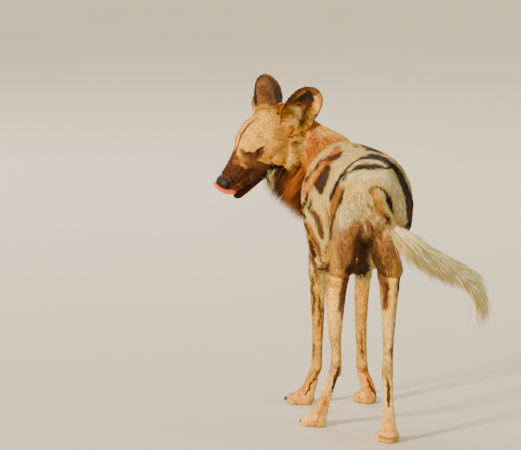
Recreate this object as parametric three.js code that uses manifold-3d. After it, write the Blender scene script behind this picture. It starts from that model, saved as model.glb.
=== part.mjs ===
// An African wild dog, life size, standing with its head turned back over its left side.
// Millimetres, +Z up, +Y the way the trunk faces, +X the dog's right side.
// The body is built about the ground point below the hip joints, and is centred on its own box at the end.

import * as THREE from 'three';
import { mergeVertices } from 'three/addons/utils/BufferGeometryUtils.js';
import Module from 'manifold-3d';

const wasm = await Module();
wasm.setup();

// Driving dimensions of the body
const WITHERS_HEIGHT = 642;
const ELBOW_HEIGHT = 345;
const STIFLE_HEIGHT = 398;
const HOCK_HEIGHT = 168;
const CARPUS_HEIGHT = 98;
const SHOULDER_AHEAD = 455; // from the hip joint to the line of the forelegs
const HEAD_LENGTH = 232;
const GAP = 0.3; // between touching nodes
const FAR = 1600; // more than the length of the whole dog

// Heights of the seams in the legs, and how far ahead of the hip joints the rump ends
const SEAMS = { foreleg: 316, wrist: 70, hindleg: 374, hock: 146, rump: 148 };

// The cup of an ear. Its shares are of its length, and it wraps round by these radians to each side.
const EAR = {
  long: 138, sunk: 18, halfWidth: 45, wall: 3.2, depth: 17, belly: 5, lean: -10,
  waist: 0.42, widest: 0.4, roundedFrom: 0.58, roundness: 2.3,
  wrapAtBase: 2.35, wrapAbove: 1.28, unrolledAt: 0.55,
  root: { at: [-3, 0, 5], radii: [15, 17, 31] },
};

// Where the ruff grows, along the neck and round its underside
const RUFF = { rows: 6, across: 6, from: 0.4, to: 0.97, degrees: [196, 316], long: 58 };

// Pose of the head: it looks back over the left shoulder and down
const HEAD_TURN = THREE.MathUtils.degToRad(93.4);
const HEAD_PITCH = THREE.MathUtils.degToRad(41);
const HEAD_ROLL = THREE.MathUtils.degToRad(-22.6);
const HEAD_AT = new THREE.Vector3(-99, 628, 664); // the occiput, on the line from nose to ears

const vec = (x, y, z) => new THREE.Vector3(x, y, z);
const UP = vec(0, 0, 1);
const FORWARD = vec(0, 1, 0);

// Colours and finish of each kind of surface
const finish = {
  tan: new THREE.MeshStandardMaterial({ color: 0xb98a55, roughness: 0.85, metalness: 0 }),
  rust: new THREE.MeshStandardMaterial({ color: 0xb4703a, roughness: 0.85, metalness: 0 }),
  cream: new THREE.MeshStandardMaterial({ color: 0xe6dcc2, roughness: 0.9, metalness: 0 }),
  blackBrown: new THREE.MeshStandardMaterial({ color: 0x33251d, roughness: 0.8, metalness: 0 }),
  noseLeather: new THREE.MeshStandardMaterial({ color: 0x2a211f, roughness: 0.45, metalness: 0 }),
  tongue: new THREE.MeshStandardMaterial({ color: 0xd9746a, roughness: 0.35, metalness: 0 }),
  claw: new THREE.MeshStandardMaterial({ color: 0x2b2420, roughness: 0.5, metalness: 0 }),
};

// A repeatable row of numbers from 0 to 1
function seededRandom(seed) {
  let state = seed;
  return () => {
    state = (state * 1664525 + 1013904223) % 4294967296;
    return state / 4294967296;
  };
}

// A three.js geometry as a solid, with its faces turned outwards
function solidOf(geometry, matrix) {
  const bare = geometry.clone();
  bare.deleteAttribute('normal');
  bare.deleteAttribute('uv');
  if (matrix) bare.applyMatrix4(matrix);
  const merged = mergeVertices(bare, 1e-3);
  const triVerts = new Uint32Array(merged.index.array);
  const vertProperties = new Float32Array(merged.attributes.position.array);
  const make = () => new wasm.Manifold(new wasm.Mesh({ numProp: 3, vertProperties, triVerts }));
  let made = make();
  if (made.volume() < 0) {
    for (let i = 0; i < triVerts.length; i += 3)
      [triVerts[i + 1], triVerts[i + 2]] = [triVerts[i + 2], triVerts[i + 1]];
    made = make();
  }
  return made;
}

// A solid as a three.js geometry
function geometryOf(solid) {
  const mesh = solid.getMesh();
  const place = new Float32Array(mesh.numVert * 3);
  for (let i = 0; i < mesh.numVert; i++)
    place.set(mesh.vertProperties.subarray(i * mesh.numProp, i * mesh.numProp + 3), i * 3);
  return new THREE.BufferGeometry()
    .setAttribute('position', new THREE.BufferAttribute(place, 3))
    .setIndex(new THREE.BufferAttribute(new Uint32Array(mesh.triVerts), 1))
    .toNonIndexed();
}

// Closes the specks that merging nearly equal points can seal inside a solid
const settled = (solid) => largest(solidOf(geometryOf(solid)));

const join = (...solids) => solids.flat().reduce((all, next) => all.add(next));

// The largest closed surface of a solid: a loose scrap left by a cut is dropped
function largest(solid) {
  return solid.decompose().reduce((best, next) => (next.volume() > best.volume() ? next : best));
}

// A value raised to a power, with its sign kept
const signedPower = (value, power) => Math.sign(value) * Math.abs(value) ** power;

// The skin of a swept body. Each station gives a centre, a half width and the reach above and below it.
class Sweep {
  constructor(stations, { upright = UP, boxy = 1, grow = 0 } = {}) {
    this.path = new THREE.CatmullRomCurve3(stations.map((s) => vec(...s.at)), false, 'centripetal');
    this.sizes = new THREE.CatmullRomCurve3(
      stations.map((s) => vec(s.wide, s.up, s.down ?? s.up)), false, 'catmullrom', 0.4);
    this.upright = upright;
    this.boxy = boxy;
    this.grow = grow;
  }
  frame(t) {
    const along = this.path.getTangent(t);
    const side = along.clone().cross(this.upright).normalize();
    return { centre: this.path.getPoint(t), along, side, over: side.clone().cross(along) };
  }
  point(t, angle, lift = 0) {
    const { centre, side, over } = this.frame(t);
    const size = this.sizes.getPoint(t);
    const grow = this.grow + lift;
    const sine = signedPower(Math.sin(angle), this.boxy);
    const across = (size.x + grow) * signedPower(Math.cos(angle), this.boxy);
    const high = ((sine > 0 ? size.y : size.z) + grow) * sine;
    return centre.addScaledVector(side, across).addScaledVector(over, high);
  }
  outward(t, angle) {
    return this.point(t, angle, 1).sub(this.point(t, angle)).normalize();
  }
  solid({ sides = 16, rings = 12, startCap = 0, endCap = 0 } = {}) {
    const ball = new THREE.SphereGeometry(1, sides, rings);
    const place = ball.attributes.position;
    for (let row = 0; row <= rings; row++) {
      const t = THREE.MathUtils.clamp((row - 1) / (rings - 2), 0, 1);
      for (let column = 0; column <= sides; column++) {
        const angle = ((column % sides) / sides) * Math.PI * 2;
        let spot = this.point(t, angle);
        if (row === 0 || row === rings) {
          const { centre, along } = this.frame(t);
          spot = centre.addScaledVector(along, row === 0 ? -startCap - this.grow : endCap + this.grow);
        }
        place.setXYZ(row * (sides + 1) + column, spot.x, spot.y, spot.z);
      }
    }
    return solidOf(ball);
  }
}

// A rounded mass of muscle or bone
function mound(at, radii, { turn = [0, 0, 0], sides = 9, rings = 6, grow = 0 } = {}) {
  const ball = new THREE.SphereGeometry(1, sides, rings);
  const matrix = new THREE.Matrix4().compose(
    vec(...at),
    new THREE.Quaternion().setFromEuler(new THREE.Euler(...turn.map(THREE.MathUtils.degToRad))),
    vec(...radii.map((r) => r + grow)),
  );
  return solidOf(ball, matrix);
}

// A block whose lower face lies in the plane through a point, and which reaches far along the normal
function sideOf(point, normal, shift = 0) {
  const away = normal.clone().normalize();
  const turn = new THREE.Quaternion().setFromUnitVectors(UP, away);
  const centre = point.clone().addScaledVector(away, FAR / 2 + shift);
  return solidOf(new THREE.BoxGeometry(FAR, FAR, FAR),
    new THREE.Matrix4().compose(centre, turn, vec(1, 1, 1)));
}

// Parts a solid by thin cuts in planes: the piece beyond all of them, and what is left
function part(solid, ...planes) {
  const beyond = planes.map(([point, normal]) => sideOf(point, normal, GAP / 2));
  const taken = planes.map(([point, normal]) => sideOf(point, normal, -GAP / 2));
  const piece = beyond.reduce((rest, block) => rest.intersect(block), solid);
  const hole = taken.slice(1).reduce((rest, block) => rest.intersect(block), taken[0]);
  return { piece: largest(piece), rest: largest(solid.subtract(hole)) };
}

// One flat, tapered lock of hair. It leaves its root sunk in the skin, lies along the coat and bends down.
function hairLock({ root, outward, lie, sunk, long, wide, droop }) {
  const at = (share) => root.clone()
    .addScaledVector(outward, -sunk * (1 - share))
    .addScaledVector(lie, long * share)
    .addScaledVector(UP, -droop * share ** 2)
    .toArray();
  const thick = wide * 0.33;
  return new Sweep([
    { at: at(0), wide: wide * 0.7, up: thick },
    { at: at(0.35), wide, up: thick },
    { at: at(0.7), wide: wide * 0.72, up: thick * 0.7 },
    { at: at(1), wide: wide * 0.16, up: thick * 0.3 },
  ], { upright: outward }).solid({ sides: 4, rings: 4, startCap: 1, endCap: 3 });
}

// Trunk: rump, loin, rib cage and chest on one sweep, bent a little to the right at the loin
function trunk(grow = 0) {
  const rise = WITHERS_HEIGHT;
  const station = (x, y, wide, top, bottom) => ({
    at: [x, y, (top + bottom) / 2], wide, up: (top - bottom) / 2, down: (top - bottom) / 2,
  });
  return new Sweep([
    station(-17, -94, 24, rise - 74, rise - 142),
    station(-16, -80, 50, rise - 48, rise - 158),
    station(-11, -45, 70, rise - 27, rise - 168),
    station(-3, 5, 79, rise - 15, rise - 180),
    station(9, 70, 86, rise - 12, rise - 200),
    station(18, 140, 97, rise - 7, rise - 226),
    station(25, 220, 110, rise - 2, rise - 262),
    station(23, 300, 108, rise - 2, rise - 298),
    station(12, 380, 98, rise - 4, rise - 320),
    station(0, 450, 86, rise - 8, rise - 318),
    station(-9, 515, 72, rise - 26, rise - 282),
    station(-15, 560, 50, rise - 66, rise - 232),
    station(-18, 582, 27, rise - 100, rise - 196),
  ], { boxy: 0.9, grow }).solid({ sides: 18, rings: 14, startCap: 3, endCap: 5 });
}

// The shoulder blade, the withers and the upper arm lie over the rib cage
function shoulder(side, grow = 0) {
  const x = (out) => side * out - 3;
  return [
    new Sweep([
      { at: [x(24), 452, 606], wide: 12, up: 34 },
      { at: [x(44), 458, 575], wide: 24, up: 48 },
      { at: [x(56), 468, 525], wide: 30, up: 54 },
      { at: [x(62), 478, 475], wide: 28, up: 50 },
      { at: [x(58), 476, 440], wide: 22, up: 42 },
    ], { upright: FORWARD, grow }).solid({ sides: 10, rings: 8, startCap: 6, endCap: 10 }),
    new Sweep([
      { at: [x(54), 500, 500], wide: 20, up: 28 },
      { at: [x(57), 496, 455], wide: 26, up: 38 },
      { at: [x(55), 470, 410], wide: 25, up: 40 },
      { at: [x(54), 446, 368], wide: 21, up: 30 },
      { at: [x(54), 438, 340], wide: 17, up: 22 },
    ], { upright: FORWARD, grow }).solid({ sides: 10, rings: 8, startCap: 10, endCap: 8 }),
  ];
}

// A hind quarter: buttock, thigh and stifle. Its middle runs from beside the spine to the knee.
function thigh(side, { buttock, haunch, groin, knee }, grow = 0) {
  return [
    new Sweep([
      { at: [side * 38 - 4, -4, 575], wide: 32, up: 50, down: 54 },
      { at: [buttock[0], buttock[1], 525], wide: 38, up: 66, down: 76 },
      { at: [haunch[0], haunch[1], 470], wide: 34, up: 74, down: 80 },
      { at: [groin[0], groin[1], 425], wide: 33, up: 68, down: 72 },
      { at: [knee[0] - side * 2, knee[1] - 30, knee[2] - 12], wide: 29, up: 50, down: 56 },
      { at: [knee[0] - side * 4, knee[1] - 36, knee[2] - 42], wide: 24, up: 38, down: 44 },
    ], { upright: FORWARD, boxy: 0.92, grow }).solid({ sides: 12, rings: 10, startCap: 14, endCap: 12 }),
    mound([knee[0], knee[1] - 4, knee[2] - 4], [23, 27, 31], { grow }),
  ];
}

// A point at a share of the way from one point to another, raised to a height of its own
const between = (from, to, share, height) => [
  THREE.MathUtils.lerp(from[0], to[0], share),
  THREE.MathUtils.lerp(from[1], to[1], share),
  height,
];

// A hind leg from the stifle to the toes, through the given joints
function hindLeg({ knee, calf, shin, hock, foot, toeTurn, calfWidth }) {
  const toward = vec(Math.sin(toeTurn), Math.cos(toeTurn), 0);
  const shank = new Sweep([
    { at: [knee[0], knee[1] - 14, knee[2] - 8], wide: 28, up: 34, down: 54 },
    { at: calf, wide: calfWidth, up: 26, down: 38 },
    { at: shin, wide: calfWidth * 0.68, up: 17, down: 24 },
    { at: [hock[0], hock[1] - 4, hock[2] + 26], wide: 12.5, up: 14, down: 22 },
    { at: hock, wide: 15, up: 16, down: 24 },
    { at: [hock[0], hock[1] + 6, hock[2] - 24], wide: 14, up: 15, down: 16 },
  ], { upright: FORWARD }).solid({ sides: 10, rings: 9, startCap: 10, endCap: 3 });
  const heel = mound([hock[0], hock[1] - 20, hock[2] + 10], [9, 11, 17]);
  const cannonFoot = [foot[0] - toward.x * 22, foot[1] - toward.y * 22, 44];
  const cannon = new Sweep([
    { at: [hock[0], hock[1], hock[2] + 2], wide: 14, up: 15, down: 18 },
    { at: between(hock, cannonFoot, 0.25, hock[2] * 0.72 + 12), wide: 13, up: 13, down: 14 },
    { at: between(hock, cannonFoot, 0.7, 78), wide: 13.5, up: 13, down: 13 },
    { at: cannonFoot, wide: 17, up: 16, down: 14 },
    { at: [foot[0] - toward.x * 6, foot[1] - toward.y * 6, 26], wide: 21, up: 17, down: 14 },
    { at: [foot[0] + toward.x * 6, foot[1] + toward.y * 6, 20], wide: 21, up: 15, down: 13 },
  ], { upright: FORWARD }).solid({ sides: 8, rings: 8, startCap: 4, endCap: 8 });
  return join(shank, heel, cannon, paw(foot, toeTurn));
}

// A foreleg from the elbow to the toes
function foreLeg({ elbow, fore, mid, carpus, foot, toeTurn }) {
  const toward = vec(Math.sin(toeTurn), Math.cos(toeTurn), 0);
  const forearm = new Sweep([
    { at: [elbow[0], elbow[1] + 10, elbow[2] + 40], wide: 22, up: 30, down: 30 },
    { at: [elbow[0], elbow[1] + 6, elbow[2]], wide: 22, up: 26, down: 26 },
    { at: fore, wide: 20, up: 22, down: 22 },
    { at: mid, wide: 15.5, up: 15, down: 16 },
    { at: [carpus[0], carpus[1] - 2, carpus[2] + 22], wide: 14, up: 13.5, down: 14 },
    { at: carpus, wide: 16, up: 15, down: 14 },
    { at: between(carpus, [foot[0], foot[1] - 24], 0.4, 66), wide: 15, up: 14, down: 13 },
    { at: [foot[0] - toward.x * 18, foot[1] - toward.y * 18, 36], wide: 18, up: 16, down: 14 },
    { at: [foot[0] - toward.x * 2, foot[1] - toward.y * 2, 22], wide: 22, up: 15, down: 14 },
  ], { upright: FORWARD }).solid({ sides: 10, rings: 13, startCap: 10, endCap: 8 });
  const elbowPoint = mound([elbow[0], elbow[1] - 20, elbow[2] + 6], [13, 13, 20]);
  const wristPad = mound([carpus[0] + 2, carpus[1] - 15, carpus[2] - 8], [7, 8, 9]);
  return join(forearm, elbowPoint, wristPad, paw(foot, toeTurn));
}

// Where the four toes of a paw lie, from the middle of its sole
const TOES = [
  { out: -20, ahead: 16, long: 17 },
  { out: -7.5, ahead: 28, long: 19 },
  { out: 7.5, ahead: 28, long: 19 },
  { out: 20, ahead: 16, long: 17 },
];
const TOE_HALF_WIDTH = 8.6;
const TOE_HEIGHT = 15;

const spotOf = (foot, turn, out, ahead, z) => [
  foot[0] + out * Math.cos(turn) + ahead * Math.sin(turn),
  foot[1] - out * Math.sin(turn) + ahead * Math.cos(turn),
  z,
];

// One toe of a paw
function toeSolid(foot, turn, { out, ahead, long }, grow = 0) {
  const degrees = -THREE.MathUtils.radToDeg(turn);
  return mound(spotOf(foot, turn, out, ahead, 11), [TOE_HALF_WIDTH, long, TOE_HEIGHT],
    { turn: [0, 0, degrees], sides: 8, rings: 5, grow });
}

// Four toes and the instep with its pad, flat where they meet the ground
function paw(foot, turn) {
  const degrees = -THREE.MathUtils.radToDeg(turn);
  const instep = mound(spotOf(foot, turn, 0, -2, 17), [23, 29, 23],
    { turn: [0, 0, degrees], sides: 10, rings: 5 });
  return join(TOES.map((toe) => toeSolid(foot, turn, toe)), instep);
}

// The claw of one toe, a bent cone that starts on the toe's front
function clawSolid(foot, turn, toe) {
  const at = (step, z) => spotOf(foot, turn, toe.out, toe.ahead + toe.long + step, z);
  const cone = new Sweep([
    { at: at(-7, 14), wide: 3, up: 3.4 },
    { at: at(0, 13.5), wide: 2.7, up: 3.2 },
    { at: at(5, 11), wide: 2, up: 2.4 },
    { at: at(9, 6.5), wide: 0.8, up: 1 },
  ]).solid({ sides: 5, rings: 4, endCap: 1 });
  return largest(cone.subtract(toeSolid(foot, turn, toe, GAP)));
}

// Joints of the four legs. The left hind leg is stepped forward, and the right one stands back.
const LEGS = {
  hind_left: {
    buttock: [-52, 6], haunch: [-61, 16], groin: [-63, 38],
    knee: [-68, 104, STIFLE_HEIGHT], calf: [-73, 62, 318], shin: [-77, 48, 245],
    hock: [-72, 62, HOCK_HEIGHT - 6], foot: [-101, 172, 0], toeTurn: THREE.MathUtils.degToRad(-24),
    calfWidth: 25,
  },
  hind_right: {
    buttock: [42, 2], haunch: [34, 8], groin: [35, 26],
    knee: [54, 88, STIFLE_HEIGHT - 2], calf: [43, 10, 322], shin: [33, -44, 248],
    hock: [25, -82, HOCK_HEIGHT + 4], foot: [30, -64, 0], toeTurn: THREE.MathUtils.degToRad(4),
    calfWidth: 21.5,
  },
  fore_left: {
    elbow: [-58, SHOULDER_AHEAD - 18, ELBOW_HEIGHT], fore: [-57, SHOULDER_AHEAD - 8, 290],
    mid: [-56, SHOULDER_AHEAD - 4, 190], carpus: [-57, SHOULDER_AHEAD + 4, CARPUS_HEIGHT],
    foot: [-86, SHOULDER_AHEAD + 28, 0], toeTurn: THREE.MathUtils.degToRad(-38),
  },
  fore_right: {
    elbow: [54, SHOULDER_AHEAD - 18, ELBOW_HEIGHT], fore: [49, SHOULDER_AHEAD - 8, 290],
    mid: [47, SHOULDER_AHEAD - 4, 190], carpus: [50, SHOULDER_AHEAD + 4, CARPUS_HEIGHT],
    foot: [66, SHOULDER_AHEAD + 26, 0], toeTurn: THREE.MathUtils.degToRad(-6),
  },
};

// The neck curves to the left on its way up to the skull
const neckSweep = (grow = 0) => new Sweep([
  { at: [-5, 452, 528], wide: 66, up: 92, down: 96 },
  { at: [-10, 520, 556], wide: 64, up: 86, down: 92 },
  { at: [-27, 576, 572], wide: 60, up: 78, down: 84 },
  { at: [-60, 612, 592], wide: 57, up: 72, down: 74 },
  { at: [-92, 624, 618], wide: 54, up: 64, down: 62 },
  { at: [-116, 624, 636], wide: 46, up: 50, down: 48 },
], { grow });
const neckSolid = (grow) => neckSweep(grow).solid({ sides: 17, rings: 11 });

// The head's own frame: x to the nose, y to its left side, z over the crown
const headAngles = new THREE.Euler(HEAD_ROLL, HEAD_PITCH, Math.PI / 2 + HEAD_TURN, 'ZYX');
const headFrame = new THREE.Matrix4().compose(
  HEAD_AT, new THREE.Quaternion().setFromEuler(headAngles), vec(1, 1, 1));
const inBody = (solid) => solid.transform(headFrame.elements);
const inHead = (solid) => solid.transform(headFrame.clone().invert().elements);

// Skull, brow, cheeks and upper jaw, in the head's frame
function headFlesh(grow = 0) {
  const station = (x, wide, top, bottom) => ({
    at: [x, 0, (top + bottom) / 2], wide, up: (top - bottom) / 2, down: (top - bottom) / 2,
  });
  const nose = HEAD_LENGTH;
  const main = new Sweep([
    station(-10, 26, 32, -18),
    station(8, 45, 51, -42),
    station(42, 57, 66, -58),
    station(76, 60, 69, -62),
    station(100, 55, 63, -60),
    station(120, 44, 49, -54),
    station(nose - 88, 35, 35, -49),
    station(nose - 64, 29, 23, -46),
    station(nose - 40, 26.5, 15, -45),
    station(nose - 24, 23, 6, -44),
    station(nose - 13, 17, -4, -42),
  ], { boxy: 0.9, grow }).solid({ sides: 14, rings: 14, startCap: 8, endCap: 2 });
  const pairs = [1, -1].flatMap((side) => [
    mound([62, side * 39, -26], [42, 25, 42], { grow, turn: [0, 14, 0] }),
    mound([86, side * 45, 4], [36, 15, 19], { grow, turn: [0, -6, side * -10] }),
    mound([113, side * 27, 36], [22, 17, 11], { grow, turn: [0, 18, side * -20] }),
    mound([112, side * 36, 25], [16, 13, 13], { grow }),
    mound([nose - 44, side * 19, -32], [38, 11.5, 14], { grow, turn: [0, 2, side * -5] }),
    mound([nose - 86, side * 25.5, -38], [47, 9, 16], { grow, turn: [0, 1, side * -8] }),
    mound([22, side * 35, 18], [24, 20, 22], { grow }),
  ]);
  return join(main, pairs);
}

// The closed eye: both lids over the ball, parted by the slit between them
const EYE_AT = (side) => [117, side * 39.5, 26.5];
function closedEye(side, grow = 0) {
  const ball = mound(EYE_AT(side), [13.5, 10.5, 10],
    { grow, turn: [0, 12, side * -24], sides: 12, rings: 8 });
  if (grow > 0) return ball;
  const slit = mound([120, side * 53, 23.5], [15, 9, 0.9],
    { turn: [0, 10, side * -28], sides: 10, rings: 4 });
  return largest(ball.subtract(slit));
}

// The lower jaw, held a little open round the tongue
function lowerJaw(grow = 0) {
  return new Sweep([
    { at: [84, 0, -62], wide: 30, up: 8, down: 18 },
    { at: [118, 0, -59], wide: 27, up: 8, down: 15 },
    { at: [155, 0, -60], wide: 22, up: 7, down: 13 },
    { at: [190, 0, -62], wide: 18.5, up: 8, down: 11 },
    { at: [210, 0, -63], wide: 15, up: 8, down: 9 },
    { at: [219, 0, -62], wide: 9, up: 5, down: 5 },
  ], { boxy: 0.9, grow }).solid({ sides: 12, rings: 11, endCap: 3 });
}

// The nose leather and its two nostrils
function nosePad(grow = 0) {
  const at = HEAD_LENGTH;
  const pad = join(
    mound([at - 18, 0, -8], [20, 21, 15.5], { grow, sides: 12, rings: 7 }),
    mound([at - 9, 0, -24], [7, 6, 12], { grow, sides: 8 }),
  );
  if (grow > 0) return pad;
  const nostrils = [1, -1].flatMap((side) => [
    mound([at + 1, side * 9, -9], [9, 3.8, 4.6], { turn: [side * -24, 0, side * -14], sides: 8, rings: 4 }),
    mound([at - 9, side * 19, -13], [9, 5, 1.8], { turn: [0, 0, side * -32], sides: 8, rings: 4 }),
  ]);
  return largest(pad.subtract(join(nostrils)));
}

// The tongue comes out at the left of the lips and curls up over the front of the nose
const tongueSweep = (grow = 0) => new Sweep([
  { at: [190, 13, -47], wide: 12, up: 3 },
  { at: [209, 18, -38], wide: 12, up: 4 },
  { at: [224, 17, -26], wide: 12, up: 4.6 },
  { at: [232.5, 12, -12], wide: 11, up: 4.4 },
  { at: [235.5, 6, 1], wide: 8.5, up: 3.6 },
  { at: [234.5, 2, 10], wide: 4, up: 2 },
], { upright: vec(0.7, 0.1, -0.5), grow });

// One ear: a thin round cup that narrows to a rolled base, filled at its root
class Ear {
  constructor(at, along, facing) {
    const z = vec(...along).normalize();
    const x = vec(...facing).addScaledVector(z, -vec(...facing).dot(z)).normalize();
    this.frame = new THREE.Matrix4().makeBasis(x, z.clone().cross(x), z).setPosition(vec(...at));
  }
  // The section of the cup at a share of its length
  section(share) {
    const rounding = Math.max(0, (share - EAR.roundedFrom) / (1 - EAR.roundedFrom));
    const outline = Math.sqrt(Math.max(0, 1 - rounding ** EAR.roundness));
    const spread = THREE.MathUtils.smoothstep(share, 0, EAR.widest);
    const unrolled = THREE.MathUtils.smoothstep(share, 0, EAR.unrolledAt);
    return {
      halfWidth: THREE.MathUtils.lerp(EAR.waist, 1, spread) * EAR.halfWidth * outline,
      depth: (EAR.depth + EAR.belly * Math.sin(share * Math.PI)) * Math.max(outline, 0.2),
      wrap: THREE.MathUtils.lerp(EAR.wrapAtBase, EAR.wrapAbove, unrolled),
      lean: EAR.lean * share ** 2,
    };
  }
  cup({ sides = 18, rings = 10 } = {}) {
    const ball = new THREE.SphereGeometry(1, sides, rings);
    const place = ball.attributes.position;
    for (let row = 0; row <= rings; row++) {
      const share = (1 - Math.cos((row / rings) * Math.PI)) / 2;
      const { halfWidth, depth, wrap, lean } = this.section(share);
      const atEnd = row === 0 || row === rings;
      for (let column = 0; column <= sides; column++) {
        const turn = (column % sides) / sides;
        const inside = turn > 0.5;
        const sweep = (inside ? 3 - 4 * turn : 4 * turn - 1) * wrap;
        const thin = inside ? Math.min(EAR.wall, halfWidth * 0.3) : 0;
        const x = atEnd ? lean - 3 : lean - (depth - thin) * Math.cos(sweep);
        const y = atEnd ? 0 : (halfWidth - thin) * Math.sin(sweep);
        place.setXYZ(row * (sides + 1) + column, x, y, EAR.long * share - EAR.sunk);
      }
    }
    return solidOf(ball);
  }
  solid() {
    const root = mound(EAR.root.at, EAR.root.radii, { sides: 10, rings: 6 });
    return join(this.cup(), root).transform(this.frame.elements);
  }
}

const EARS = {
  ear_left: new Ear([21, 52, 18], [-0.89, 0.24, 0.39], [0.18, 0.93, 0.32]),
  ear_right: new Ear([42, -36.5, 17.3], [-0.611, -0.751, 0.256], [0.32, -0.92, -0.25]),
};

// The tail hangs from the rump and swings out to the right
const tailRoot = () => new Sweep([
  { at: [-12, -48, 580], wide: 17, up: 17 },
  { at: [-8, -80, 577], wide: 17, up: 17 },
  { at: [4, -103, 556], wide: 15, up: 15 },
  { at: [18, -114, 530], wide: 14, up: 14 },
  { at: [30, -119, 508], wide: 13, up: 14 },
]);
const tailCore = () => new Sweep([
  { at: [29, -119, 509], wide: 13, up: 12, down: 15 },
  { at: [56, -124, 488], wide: 14, up: 11, down: 21 },
  { at: [96, -128, 457], wide: 14, up: 10, down: 23 },
  { at: [140, -128, 431], wide: 13, up: 10, down: 20 },
  { at: [184, -125, 406], wide: 11, up: 10, down: 16 },
  { at: [215, -120, 378], wide: 9, up: 9, down: 13 },
  { at: [232, -117, 349], wide: 7, up: 7, down: 8 },
]);

// The long hair of the tail lies back along it, and hangs further from its underside
function tailLocks() {
  const random = seededRandom(5);
  const core = tailCore();
  const rows = 7;
  const around = 6;
  const locks = [];
  for (let row = 0; row < rows; row++) {
    const t = 0.03 + 0.94 * (row / (rows - 1)) ** 0.95;
    for (let step = 0; step < around; step++) {
      const angle = ((step + (row % 2) / 2 + random() * 0.3) / around) * Math.PI * 2;
      const below = Math.max(0, -Math.sin(angle));
      const outward = core.outward(t, angle);
      const { along } = core.frame(t);
      const full = Math.sin(Math.PI * Math.min(1, t + 0.22)) ** 0.5;
      locks.push(hairLock({
        root: core.point(t, angle),
        outward,
        lie: along.clone().addScaledVector(outward, 0.1 + 0.26 * below * full).normalize(),
        sunk: 5,
        long: (54 + 14 * random()) * (0.82 + 0.26 * below),
        wide: 9 + 2 * random(),
        droop: 4 * random() + 5 * below,
      }));
    }
  }
  return locks;
}

// The dark ruff of the throat hangs from the underside of the neck, between the jaw and the breast
function ruffLocks() {
  const random = seededRandom(11);
  const neck = neckSweep();
  const locks = [];
  for (let row = 0; row < RUFF.rows; row++) {
    const t = THREE.MathUtils.lerp(RUFF.from, RUFF.to, row / (RUFF.rows - 1));
    for (let step = 0; step < RUFF.across; step++) {
      const across = (step + (row % 2) / 2 + 0.25 * random()) / RUFF.across;
      const angle = THREE.MathUtils.degToRad(THREE.MathUtils.lerp(...RUFF.degrees, across));
      const middle = Math.sin(Math.PI * across);
      const outward = neck.outward(t, angle);
      const { along } = neck.frame(t);
      locks.push(hairLock({
        root: neck.point(t, angle),
        outward,
        lie: along.clone().multiplyScalar(-0.2).addScaledVector(outward, 0.55).addScaledVector(UP, -0.75)
          .normalize(),
        sunk: 12,
        long: RUFF.long * (0.55 + 0.45 * middle) * (0.85 + 0.3 * random()),
        wide: 9 + 3 * random(),
        droop: 6 * random(),
      }));
    }
  }
  return locks;
}

// The small fold of flesh below the root of the tail
const vulva = mound([-18, -84, 496], [12, 13, 18]);

// All the flesh in one piece, before it is parted
const floor = sideOf(vec(0, 0, 0), vec(0, 0, -1));
let flesh = join(
  trunk(), shoulder(-1), shoulder(1), neckSolid(), inBody(headFlesh()),
  thigh(-1, LEGS.hind_left), thigh(1, LEGS.hind_right), vulva,
  hindLeg(LEGS.hind_left), hindLeg(LEGS.hind_right), foreLeg(LEGS.fore_left), foreLeg(LEGS.fore_right),
).subtract(floor);

const nodes = {};
const take = (name, ...planes) => {
  const { piece, rest } = part(flesh, ...planes);
  nodes[name] = piece;
  flesh = rest;
};

const headPlane = (at, normal) =>
  [vec(...at).applyMatrix4(headFrame), vec(...normal).transformDirection(headFrame)];
const headPlanes = [
  headPlane([14, 0, 0], [1, 0, 0]), headPlane([0, 90, 0], [0, -1, 0]), headPlane([0, 0, -66], [0, 0, 1]),
];
const neckSeam = [vec(-8, 520, 562), vec(-0.15, 0.78, 0.6)];
take('head', ...headPlanes);
take('neck', neckSeam);
const headBlocks = headPlanes.map(([point, normal]) => sideOf(point, normal, -GAP));
const headRegion = headBlocks.reduce((rest, block) => rest.intersect(block));
const neckRegion = sideOf(...neckSeam, GAP).subtract(headRegion);

const below = (height) => [vec(0, 0, height), vec(0, 0, -1)];
const ahead = (distance) => [vec(0, distance, 0), FORWARD];
const behind = (distance) => [vec(0, distance, 0), vec(0, -1, 0)];
const MIDDLE = vec(-6, 0, 0); // between the legs of a pair
for (const side of ['left', 'right']) {
  const outer = [MIDDLE, vec(side === 'left' ? -1 : 1, 0, 0)];
  take(`forepaw_${side}`, below(SEAMS.wrist), outer, ahead(SHOULDER_AHEAD - 135));
  take(`foreleg_${side}`, below(SEAMS.foreleg), outer, ahead(SHOULDER_AHEAD - 115));
  take(`hindfoot_${side}`, below(SEAMS.hock), outer);
  take(`hindleg_${side}`, below(SEAMS.hindleg), outer, behind(170));
}
take('rump', behind(SEAMS.rump));
nodes.torso = flesh;

// Features of the head, each clear of the flesh that it meets
const tongueSolid = (grow) => tongueSweep(grow).solid({ sides: 10, rings: 10, endCap: 2 });
const cutAway = (solid, ...cutters) =>
  largest(cutters.reduce((rest, cutter) => rest.subtract(cutter), solid));
const fleshGrown = join(headFlesh(GAP), inHead(neckSolid(GAP)));
const headPieces = {
  eye_left: closedEye(1),
  eye_right: closedEye(-1),
  nose: cutAway(nosePad(), tongueSolid(GAP)),
  lower_jaw: cutAway(lowerJaw(), fleshGrown, tongueSolid(GAP)),
  tongue: tongueSolid(),
};
for (const [name, ear] of Object.entries(EARS)) headPieces[name] = cutAway(ear.solid(), fleshGrown);
nodes.head = inBody(cutAway(
  inHead(nodes.head), closedEye(1, GAP), closedEye(-1, GAP), nosePad(GAP), tongueSolid(GAP)));

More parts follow.
